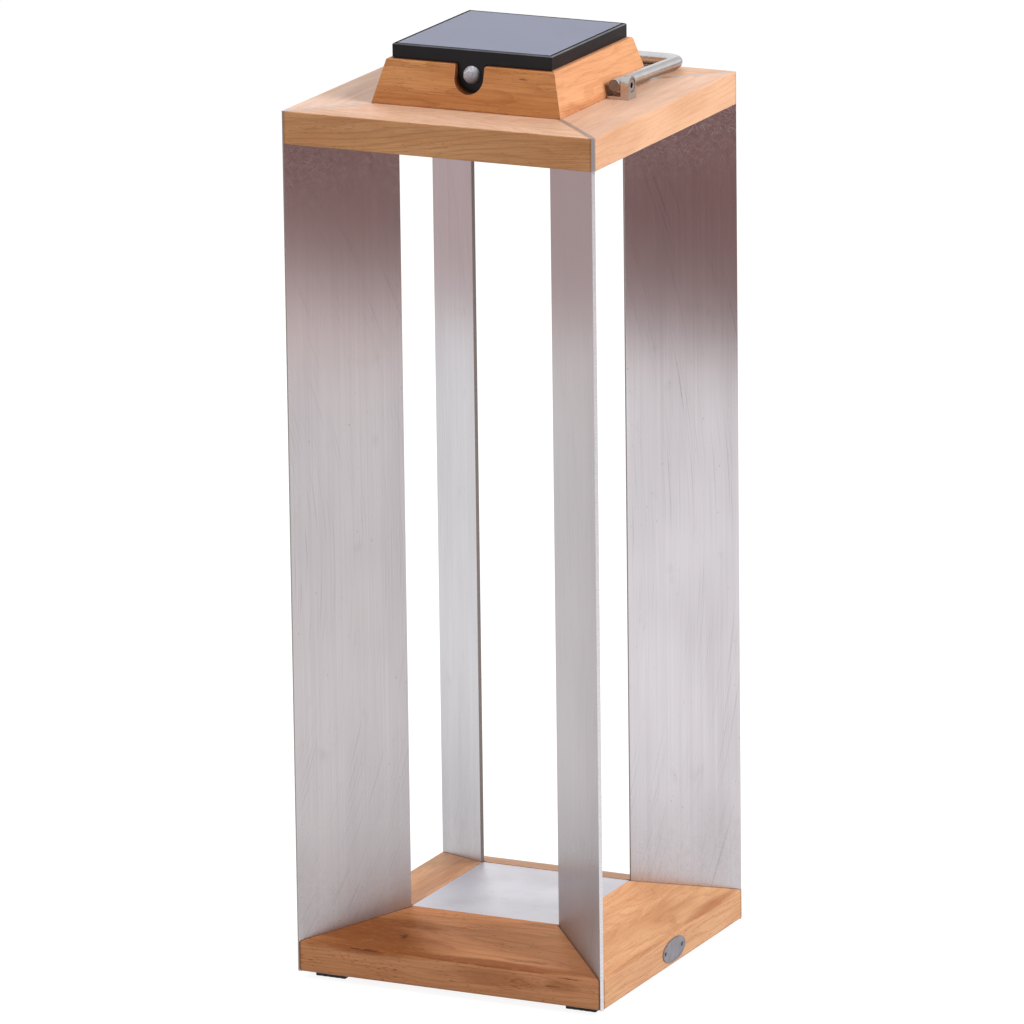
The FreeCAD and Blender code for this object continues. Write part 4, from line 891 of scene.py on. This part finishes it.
class LANTERN_OT_boards(bpy.types.Operator):
    """Make the teak boards of the base, the top frame and the hood"""

    bl_idname = "lantern.boards"
    bl_label = "Teak boards"

    def execute(self, context):
        arris = context.scene.lantern_sizes.board_arris
        # For each kind of board: the pith's place, what its sides share and what sets each side apart
        kinds = {
            "base_board": ((-88.0, -45.0), {"pores": 0.45, "joint_dirt_and_shade": 0.85, "stain": 0.3, "worn": 0.2}, {
                "front": {
                    "bleach_and_sheen": (0.18, 0.08), "stain": 0.15, "warm": 0.55, "grain": 1.2, "pores": 0.7,
                    "soaks": (
                        (-74.0, 33.0, 82.0, 9.0, 0.8), (25.0, 28.0, 100.0, 1.6, 0.85),
                        (34.0, 18.0, 46.0, 8.0, 0.45), (88.0, 20.0, 18.0, 6.0, 0.4),
                        (10.0, 36.0, 80.0, 5.0, 0.2),
                    ),
                    "nicks_and_shade_lines": (
                        (-64.0, 27.0, 13.0, 0.7, 0.8), (-45.0, 33.5, 3.0, 1.0, 0.8),
                        (94.0, 25.5, 9.0, 0.6, 0.7), (80.0, 18.5, 8.0, 0.9, 0.6),
                        (60.0, 30.5, 24.0, 0.5, 0.4),
                    ),
                },
                "right": {
                    "bleach_and_sheen": (0.2, 0.2), "stain": 0.12,
                    "soaks": (
                        (66.0, 27.5, 60.0, 2.2, 0.55), (20.0, 33.0, 70.0, 4.0, 0.2),
                        (-40.0, 27.4, 70.0, 1.1, 0.45),
                    ),
                },
                "back": {"bleach_and_sheen": (0.2, 0.2)},
                "left": {"bleach_and_sheen": (0.14, 0.14), "stain": 0.6, "soaks": ((10.0, 40.0, 90.0, 5.0, 0.5),)},
            }),
            "top_board": ((-92.0, 520.0), {
                "pores": 0.2, "joint_dirt_and_shade": 0.4, "stain": 0.1, "grain": 0.6, "worn": 0.4,
            }, {
                "front": {"bleach_and_sheen": (0.1, 0.66), "lean": 6.0, "pores": 0.35, "grain": 1.15},
                "right": {"bleach_and_sheen": (0.4, 0.72), "lean": 2.0, "soaks": ((-95.0, 620.0, 60.0, 40.0, 0.16),)},
                "back": {"bleach_and_sheen": (0.15, 0.5)},
                "left": {"bleach_and_sheen": (0.25, 0.92)},
            }),
            "hood": ((-600.0, 900.0), {"pores": 0.45, "stain": 0.2, "worn": 0.5}, {
                "front": {
                    "bleach_and_sheen": (0.0, 0.0), "notch_shade": 0.92, "grain": 1.3, "warm": 0.15,
                    "soaks": ((0.0, 633.0, 130.0, 12.0, 0.3),),
                    # The long nick along the hood's foot is a painted shadow line where it meets the top
                    # board
                    "nicks_and_shade_lines": ((42.0, 655.5, 3.5, 0.9, 0.6), (0.0, 630.6, 160.0, 1.4, 0.6)),
                },
                "right": {
                    "bleach_and_sheen": (0.2, 0.2), "lean": -4.0, "stain": 0.6, "pores": 0.25, "warm": 0.25,
                    "soaks": ((-20.0, 632.5, 70.0, 4.5, 0.45), (0.0, 645.0, 200.0, 40.0, 0.08)),
                    # The long nick along the hood's foot is a painted shadow line
                    "nicks_and_shade_lines": ((0.0, 630.6, 160.0, 1.4, 0.5),),
                },
                "back": {"bleach_and_sheen": (0.1, 0.1)},
                "left": {"bleach_and_sheen": (0.15, 0.15)},
            }),
        }
        plain = {"soaks": (), "nicks_and_shade_lines": (), "joint_dirt_and_shade": 0.0, "notch_shade": 0.0, "lean": 0.0, "grain": 1.0, "warm": 0.0}
        for kind, (pith, shared, sides) in kinds.items():
            for number, (side, own) in enumerate(sides.items()):
                node = f"{kind}_{side}"
                along = "X" if side in ("front", "back") else "Y"
                outward = 1 if side in ("front", "right") else -1
                place = (pith[0] * outward, pith[1])
                # Each board is cut from another stretch of the wood
                shift = 310.0 * number + 37.0 * len(kind)
                look = {**plain, **shared, **own}
                dressed(node, oiled_teak(f"oiled_teak_{node}", along, place, shift, look), arris)
        paint(turned_beech(), "base_dowels", "top_dowels")
        return {"FINISHED"}


class LANTERN_OT_plates(bpy.types.Operator):
    """Make the brushed corner plates and the floor plate"""

    bl_idname = "lantern.plates"
    bl_label = "Metal plates"

    def execute(self, context):
        edge = context.scene.lantern_sizes.plate_edge
        bright = sawn_aluminium("sawn_aluminium", "#EDEBEE", "#D6D3D6", "#AFABAB")
        # Painted shade: these darker edge tones stand for the shade that the edges of three plates lie in
        shaded_edges = sawn_aluminium("dull_sawn_aluminium", "#958B86", "#877D79", "#E6E2E4")
        # For each plate: which way it faces in degrees, its tone, lighter or darker to match how brightly
        # that plate shows as painted light and shade, its edges, how scuffed and warm its top is
        plates = {
            "front_left": (-45.0, "#CDC7C9", shaded_edges, 0.12, 0.28),
            "back_right": (-45.0, "#DFDADE", shaded_edges, 0.3, 0.1),
            "front_right": (45.0, "#BCB6B8", bright, 0.05, 0.1),
            "back_left": (45.0, "#D0CED2", shaded_edges, 0.05, 0.1),
        }
        for corner, (degrees, tone, sawn, scuffs, blush) in plates.items():
            turn = math.radians(degrees)
            name = f"brushed_aluminium_{corner}"
            metal = brushed_aluminium(name, turn, linear(tone), 0.15, "Z", 1.0, 0.34, scuffs, blush)
            piece = dressed(f"corner_plate_{corner}", metal, edge)
            facing = Vector((math.sin(turn), math.cos(turn), 0.0))
            second_finish(piece, sawn, lambda middle, normal: abs(normal.dot(facing)) < 0.6)
        tone = context.scene.lantern_colours.aluminium
        dressed("floor_plate", brushed_aluminium("brushed_aluminium_level", 0.0, tone, 0.2, "X", 0.3), edge)
        return {"FINISHED"}


class LANTERN_OT_rubber(bpy.types.Operator):
    """Make the ribbed rubber pads under the corners and finish the module's seal"""

    bl_idname = "lantern.rubber"
    bl_label = "Rubber pads and seal"

    def execute(self, context):
        rubber = black_rubber()
        low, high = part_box("foot_pads")
        centres = middles("foot_pads")
        half = high.x - max(centre[0] for centre in centres)
        tall = high.z - low.z
        ribs = 5
        groove = 0.4 * MM
        pitch = 2 * half / ribs
        profile = [(-half, tall), (-half, groove)]
        for rib in range(ribs):
            start = -half + rib * pitch
            profile += [(start + groove, 0.0), (start + pitch - groove, 0.0), (start + pitch, groove)]
        profile.append((half, tall))
        pattern = skin("pad_pattern", [[(x, y, z) for x, z in profile] for y in (-half, half)])
        round_edges(pattern, groove * 0.4)
        piece = repeated("foot_pads_finished", pattern, [(x, y, low.z) for x, y in centres], rubber)
        stands_for(shaded(piece), "foot_pads")
        paint(rubber, "case_gasket")
        return {"FINISHED"}


class LANTERN_OT_badge(bpy.types.Operator):
    """Make the bare oval plate and its nails"""

    bl_idname = "lantern.badge"
    bl_label = "Oval plate"

    def execute(self, context):
        low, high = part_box("badge_plate")
        middle = (low + high) / 2
        half = (high - low) / 2
        # From the plate's back over its raised rim to its crowned middle: share of the oval and of its height
        shares = [
            (1.0, 0.0), (1.0, 0.7), (0.985, 0.9), (0.955, 1.0), (0.915, 0.98), (0.885, 0.72), (0.84, 0.62),
            (0.6, 0.66), (0.3, 0.7),
        ]
        rings = []
        for share, height in shares:
            out = low.x + height * 2 * half.x
            rings.append([(out, middle.y + y * half.y, middle.z + z * half.z) for y, z in circle(share, 96)])
        plate = skin("badge_plate_finished", rings)
        nickel = dull_nickel()
        plate.data.materials.append(nickel)
        stands_for(shaded(plate, 40.0), "badge_plate")
        dressed("badge_nails", nickel, 0.1 * MM)
        return {"FINISHED"}


class LANTERN_OT_bail(bpy.types.Operator):
    """Make the folding bail, its brackets and their screws"""

    bl_idname = "lantern.bail"
    bl_label = "Bail handle"

    def execute(self, context):
        edge = context.scene.lantern_sizes.fitting_edge
        bar = satin_stainless("satin_stainless_bar", context.scene.lantern_colours.stainless, 0.3, 1.2)
        fitting = satin_stainless("satin_stainless_fitting", linear("#CBC6C4"), 0.26, 1.0, 0.3)
        sawn = speckled("sawn_stainless_end", "#8C8480", "#77706C", 0.7, 0.5, 0.6)
        shade = speckled("shaded_socket", "#2B2827", "#1D1B1A", 0.8, 0.5, 0.3)
        low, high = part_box("pivot_screw_right")
        pivot = (low + high) / 2
        bail = dressed("bail_handle", bar, degrees=35.0)
        second_finish(bail, sawn, lambda middle, normal: middle.y < pivot.y and normal.y < -0.9)
        socket_floor = high.x - 2.2 * MM
        socket_mouth = high.x - 0.2 * MM
        socket_radius = 2.4 * MM

        def in_socket(middle, normal):
            """Tell a face of the hexagon socket by its place."""
            off_axis = math.hypot(middle.y - pivot.y, middle.z - pivot.z)
            return socket_floor < abs(middle.x) < socket_mouth and off_axis < socket_radius

        for side in ("left", "right"):
            dressed(f"handle_bracket_{side}", fitting, edge)
            second_finish(dressed(f"pivot_screw_{side}", fitting, 0.2 * MM), shade, in_socket)
        screw_set("bracket_screws", 2.6 * MM, 1.0 * MM, 1.5 * MM, True, fitting)
        return {"FINISHED"}


class LANTERN_OT_case(bpy.types.Operator):
    """Make the moulded case of the solar module, its cover, diffuser and button"""

    bl_idname = "lantern.case"
    bl_label = "Module case"

    def execute(self, context):
        colours = context.scene.lantern_colours
        black = moulded_plastic("moulded_black_abs", colours.case_black, "#19181A", 0.5)
        grey = moulded_plastic("moulded_grey_abs", linear("#6E6E73"), "#7C7C81", 0.4)
        highlit_edge = moulded_plastic("burnished_abs_edge", linear("#5A595E"), "#68676C", 0.5, 0.24)
        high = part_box("module_case")[1]
        rim = high.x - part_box("solar_glass")[1].x
        # A fine groove between the rim and the glass
        inner, outer = high.x - rim, high.x - 0.4 * rim
        floor, mouth = high.z - 1.2 * MM, high.z + rim
        section = ((outer, floor), (outer, mouth), (inner, mouth), (inner, floor))
        groove = skin("rim_groove", [oblong(half, half, height) for half, height in section], capped=False)
        case = dressed("module_case", black, context.scene.lantern_sizes.case_edge, cutter=groove)
        # Painted highlight: the rim's bevel is lighter, as if it caught the light
        rubbed = high.z - rim / 2
        second_finish(case, highlit_edge, lambda middle, normal: middle.z > rubbed and 0.4 < normal.z < 0.9)
        dressed("module_cover", black, 0.4 * MM)
        dressed("diffuser", opal_acrylic(), 0.5 * MM)
        dressed("mode_button", grey, 0.4 * MM)
        paint(black, "mode_switch")
        paint(grey, "switch_plunger")
        return {"FINISHED"}


class LANTERN_OT_panel(bpy.types.Operator):
    """Make the glass, the solar cells with their silver lines and the board under them"""

    bl_idname = "lantern.panel"
    bl_label = "Solar panel"

    def execute(self, context):
        sizes = context.scene.lantern_sizes
        glass = dressed("solar_glass", panel_glass(), 0.3 * MM)
        sealant = speckled("black_edge_sealant", "#111114", "#1B1B1F", 1.0, 0.6)
        second_finish(glass, sealant, lambda middle, normal: abs(normal.z) < 0.95)
        paint(speckled("white_backing", "#D5D6DA", "#C4C5CB", 3.0, 0.5), "cell_backing")
        low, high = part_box("solar_cells")
        centres = middles("solar_cells")
        columns = sorted({round(centre[0], 5) for centre in centres})
        rows = sorted({round(centre[1], 5) for centre in centres})
        cells = [(x, y) for x in columns for y in rows]
        half_x = columns[0] - low.x
        half_y = rows[0] - low.y
        paste = 0.05 * MM
        face = high.z - paste
        corner = 1.6 * MM
        outline = [(half_x, half_y - corner), (half_x - corner, half_y), (corner - half_x, half_y),
                   (-half_x, half_y - corner), (-half_x, corner - half_y), (corner - half_x, -half_y),
                   (half_x - corner, -half_y), (half_x, corner - half_y)]
        pattern = skin("cell_pattern", [[(x, y, z) for x, y in outline] for z in (0.0, face - low.z)])
        wafers = repeated("solar_cells_finished", pattern, [(x, y, low.z) for x, y in cells], silicon_cell())
        stands_for(wafers, "solar_cells")
        # Fingers across each cell and one bar along it, printed on its face
        printed = silver_paste()
        pitch = sizes.finger_pitch
        fingers = int(2 * half_x / pitch) - 1
        steps = [(number - (fingers - 1) / 2) * pitch for number in range(fingers)]
        prints = {
            "cell_fingers": (sizes.finger_width / 2, half_y - corner, 0.6 * paste, steps),
            "cell_bars": (half_x - corner, 2 * sizes.finger_width, 0.8 * paste, [0.0]),
        }
        for name, (line_x, line_y, thick, offsets) in prints.items():
            line = skin(f"{name}_pattern", [oblong(line_x, line_y, height) for height in (0.0, thick)])
            places = [(x + offset, y, face) for x, y in cells for offset in offsets]
            piece = repeated(name, line, places, printed)
            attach(piece, BODY_OF["solar_cells"])
        return {"FINISHED"}


class LANTERN_OT_sensor(bpy.types.Operator):
    """Make the faceted dome of the motion sensor and what is behind it"""

    bl_idname = "lantern.sensor"
    bl_label = "Motion sensor"

    def execute(self, context):
        lift = context.scene.lantern_sizes.facet_lift
        low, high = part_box("pir_lens")
        tall = 5.0 * MM
        radius = (high.x - low.x) / 2 - lift
        centre = Vector(((low.x + high.x) / 2, low.y + tall, (low.z + high.z) / 2))
        # Rings of facets on the dome that faces the front: share of its radius and share of its height
        shares = [(1.0, 0.0), (0.88, 0.5), (0.62, 0.8), (0.3, 0.955)]
        rings = []
        for share, height in shares:
            out = centre.y - height * (tall - lift)
            rings.append([(centre.x + x, out, centre.z + z) for x, z in circle(radius * share, 18)])
        dome = skin("pir_lens_finished", rings)
        follow(dome, facet_rule(), Lift=lift, Share=0.86, Finish=milky_polyethylene(centre))
        stands_for(dome, "pir_lens")
        paint(speckled("nickel_can", "#C9C6BE", "#B3B0A8", 2.0, 0.3, 1.0), "pir_sensor", "board_pins")
        paint(speckled("green_lacquer", "#2C6B45", "#24593A", 2.5, 0.35), "sensor_board", "main_board")
        return {"FINISHED"}


class LANTERN_OT_inside(bpy.types.Operator):
    """Finish the pieces inside the solar module and all hidden screws"""

    bl_idname = "lantern.inside"
    bl_label = "Inside of the module"

    def execute(self, context):
        paint(speckled("shrink_wrap", "#3C69A6", "#33598F", 5.0, 0.3), "battery_cells")
        paint(speckled("holder_polypropylene", "#252525", "#2F2F2F", 4.0, 0.45), "battery_holders")
        paint(speckled("lead_insulation", "#9C2A22", "#86231C", 3.0, 0.4), "panel_leads")
        paint(speckled("white_lacquer", "#ECECE8", "#DFDFDA", 3.0, 0.4), "led_board")
        low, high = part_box("leds")
        places = [(x, y, low.z) for x, y in middles("leds")]
        half = min(abs(high.x - place[0]) for place in places)
        body = skin("lamp_pattern", [oblong(half, half, height) for height in (0.0, high.z - low.z)])
        round_edges(body, 0.3 * MM)
        phosphor = speckled("yellow_phosphor", "#F2DE9A", "#E8CE7C", 0.8, 0.35)
        stands_for(repeated("leds_finished", body, places, phosphor), "leds")
        zinc = zinc_plating()
        # The radius and the height of their heads and the radius of their shanks, in millimetres
        screws = {
            "hood_screws": (3.6, 2.6, 2.0), "board_screws": (2.2, 1.3, 1.1), "cover_screws": (2.8, 1.8, 1.5),
        }
        for node, measures in screws.items():
            screw_set(node, *(measure * MM for measure in measures), False, zinc)
        return {"FINISHED"}


class LANTERN_OT_stage(bpy.types.Operator):
    """Set up the floor, the room, the lights and the camera"""

    bl_idname = "lantern.stage"
    bl_label = "Stage"

    def execute(self, context):
        light = context.scene.lantern_light
        self.make_floor(light)
        self.make_room(light)
        self.make_lamp("key", light.key_watts, 88.0, 36.0, 1.4)
        self.make_lamp("front", light.front_watts, -25.0, 30.0, 1.8)
        self.make_lamp("back", light.back_watts, -140.0, 40.0, 1.5)
        self.make_camera()
        context.scene.view_settings.view_transform = "Standard"
        return {"FINISHED"}

    def outward(self, azimuth, elevation):
        """The direction from the lantern's middle to a place round it, in degrees from the front and up."""
        turn, rise = math.radians(azimuth), math.radians(elevation)
        return Vector((math.sin(turn) * math.cos(rise), -math.cos(turn) * math.cos(rise), math.sin(rise)))

    def make_floor(self, light):
        """Lay a wide pale floor, white to the camera but for the lantern's shadow."""
        mesh = bpy.data.meshes.new("floor")
        mesh.from_pydata(oblong(FLOOR_HALF, FLOOR_HALF, 0.0), [], [(0, 1, 2, 3)])
        floor = new_object("floor", mesh)
        material = bpy.data.materials.new("paper_sweep")
        material.use_nodes = True
        tree = material.node_tree
        tree.nodes.clear()
        rays = add(tree, "ShaderNodeLightPath").node.outputs
        through = (rays["Is Glossy Ray"], rays["Is Transmission Ray"])
        reflected = add(tree, "ShaderNodeMath", through, operation="MAXIMUM")
        # A long rounded strip of white paper in the metal's reflections, turned a little, fading at its end
        place = add(tree, "ShaderNodeTexCoord", out="Object")
        strip = add(tree, "ShaderNodeMapping", {"Vector": place, "Rotation": (0.0, 0.0, light.sweep_turn)})
        narrow = add(tree, "ShaderNodeVectorMath", (strip, (1.0, 0.4, 0.0)), operation="MULTIPLY")
        squared = add(tree, "ShaderNodeVectorMath", (narrow, narrow), operation="MULTIPLY")
        apart = add(tree, "ShaderNodeVectorMath", (squared,), "Value", operation="LENGTH")
        radius = add(tree, "ShaderNodeMath", (apart, 0.5), operation="POWER")
        side = add(tree, "ShaderNodeSeparateXYZ", (place,), "X")
        room = toned(tree, light.room_side, (side, -1.2, 1.2, light.room_dark))
        ends = (light.sweep_half - light.sweep_fade, light.sweep_half + light.sweep_fade)
        seen = toned(tree, WHITE, (radius, *ends, room))
        mirrored = add(tree, "ShaderNodeEmission", {"Color": seen, "Strength": 1.0})
        paper = add(tree, "ShaderNodeBsdfDiffuse", {"Color": linear("#A9A9A9")})
        glow = add(tree, "ShaderNodeEmission", {"Color": WHITE, "Strength": 0.9})
        shadow = add(tree, "ShaderNodeBsdfDiffuse", {"Color": linear("#808080")})
        shadowed = add(tree, "ShaderNodeAddShader", (glow, shadow))
        bounced = add(tree, "ShaderNodeMixShader", (rays["Is Camera Ray"], paper, shadowed))
        whole = add(tree, "ShaderNodeMixShader", (reflected, bounced, mirrored))
        leave = tree.nodes.new("ShaderNodeOutputMaterial")
        tree.links.new(whole, leave.inputs["Surface"])
        floor.data.materials.append(material)
        floor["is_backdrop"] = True

    def make_room(self, light):
        """Light the lantern evenly from all round, white to the camera, with a grey strip for the metal."""
        world = bpy.data.worlds.new("white_room")
        world.use_nodes = True
        tree = world.node_tree
        rays = add(tree, "ShaderNodeLightPath").node.outputs
        through = (rays["Is Camera Ray"], rays["Is Transmission Ray"])
        seen = add(tree, "ShaderNodeMath", through, operation="MAXIMUM")
        plain = add(tree, "ShaderNodeMapRange", (seen, 0.0, 1.0, light.sky_strength, 1.0), **EASED)
        aim = add(tree, "ShaderNodeSeparateXYZ", (add(tree, "ShaderNodeTexCoord", out="Object"),), "X")
        off = add(tree, "ShaderNodeMath", (aim, 0.05), operation="SUBTRACT")
        aside = add(tree, "ShaderNodeMath", (off,), operation="ABSOLUTE")
        mirrored = add(tree, "ShaderNodeMapRange", (aside, 0.0, 0.42, 0.55, 0.93), **EASED)
        strength = add(tree, "ShaderNodeMix", {0: rays["Is Glossy Ray"], 2: plain, 3: mirrored})
        feed(tree, tree.nodes["Background"].inputs, {"Color": WHITE, "Strength": strength})
        bpy.context.scene.world = world

    def make_lamp(self, name, watts, azimuth, elevation, size):
        """Hang a soft square light round the lantern, aimed at its middle."""
        low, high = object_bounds()
        away = self.outward(azimuth, elevation)
        lamp = bpy.data.lights.new(name, "AREA")
        lamp.energy = watts
        lamp.size = size
        hung = bpy.data.objects.new(name, lamp)
        hung.location = (low + high) / 2 + away * LAMP_DISTANCE
        hung.rotation_mode = "QUATERNION"
        hung.rotation_quaternion = away.to_track_quat("Z", "Y")
        hung.visible_glossy = False
        bpy.context.scene.collection.objects.link(hung)

    def make_camera(self):
        """Put the camera where the photographer stood, far off with a long lens."""
        azimuth, elevation, roll = 25.674, 14.75, math.radians(-0.747)
        back = self.outward(azimuth, elevation)
        level = Vector((math.cos(math.radians(azimuth)), math.sin(math.radians(azimuth)), 0.0))
        upright = back.cross(level)
        right = level * math.cos(roll) + upright * math.sin(roll)
        up = upright * math.cos(roll) - level * math.sin(roll)
        lens = bpy.data.cameras.new("photographer")
        lens.sensor_width = 36.0
        lens.lens = 326.7
        lens.clip_end = 60.0
        camera = bpy.data.objects.new("photographer", lens)
        place = Vector((2.7579, -5.7439, 2.0034))
        camera.matrix_world = Matrix((
            (right.x, up.x, back.x, place.x),
            (right.y, up.y, back.y, place.y),
            (right.z, up.z, back.z, place.z),
            (0.0, 0.0, 0.0, 1.0),
        ))
        bpy.context.scene.collection.objects.link(camera)
        bpy.context.scene.camera = camera


class LANTERN_PT_sidebar(bpy.types.Panel):
    """Lists the lantern's pieces, sizes, colours and light."""

    bl_label = "Solar garden lantern"
    bl_idname = "LANTERN_PT_sidebar"
    bl_space_type = "VIEW_3D"
    bl_region_type = "UI"
    bl_category = "Lantern"

    def draw(self, context):
        """Draw a button for each operator and a box for each group of settings."""
        for operator in OPERATORS:
            self.layout.operator(operator.bl_idname)
        scene = context.scene
        for group in (scene.lantern_sizes, scene.lantern_colours, scene.lantern_light):
            box = self.layout.box()
            for name in group.bl_rna.properties.keys():
                if name not in ("rna_type", "name"):
                    box.prop(group, name)


OPERATORS = (
    LANTERN_OT_boards, LANTERN_OT_plates, LANTERN_OT_rubber, LANTERN_OT_badge, LANTERN_OT_bail,
    LANTERN_OT_case, LANTERN_OT_panel, LANTERN_OT_sensor, LANTERN_OT_inside, LANTERN_OT_stage,
)
GROUPS = {
    "lantern_sizes": LanternSizes,
    "lantern_colours": LanternColours,
    "lantern_light": LanternLight,
}


def register():
    """Register the classes and hang the settings on the scene."""
    for kind in (*GROUPS.values(), *OPERATORS, LANTERN_PT_sidebar):
        bpy.utils.register_class(kind)
    for name, kind in GROUPS.items():
        setattr(bpy.types.Scene, name, bpy.props.PointerProperty(type=kind))


def unregister():
    """Take the settings and the classes away again."""
    for name in GROUPS:
        delattr(bpy.types.Scene, name)
    for kind in reversed((*GROUPS.values(), *OPERATORS, LANTERN_PT_sidebar)):
        bpy.utils.unregister_class(kind)


def main():
    """Dress the lantern piece by piece, then set up the floor, the room, the lights and the camera."""
    register()
    bpy.ops.lantern.boards()
    bpy.ops.lantern.plates()
    bpy.ops.lantern.rubber()
    bpy.ops.lantern.badge()
    bpy.ops.lantern.bail()
    bpy.ops.lantern.case()
    bpy.ops.lantern.panel()
    bpy.ops.lantern.sensor()
    bpy.ops.lantern.inside()
    bpy.ops.lantern.stage()


if __name__ == "__main__":
    main()
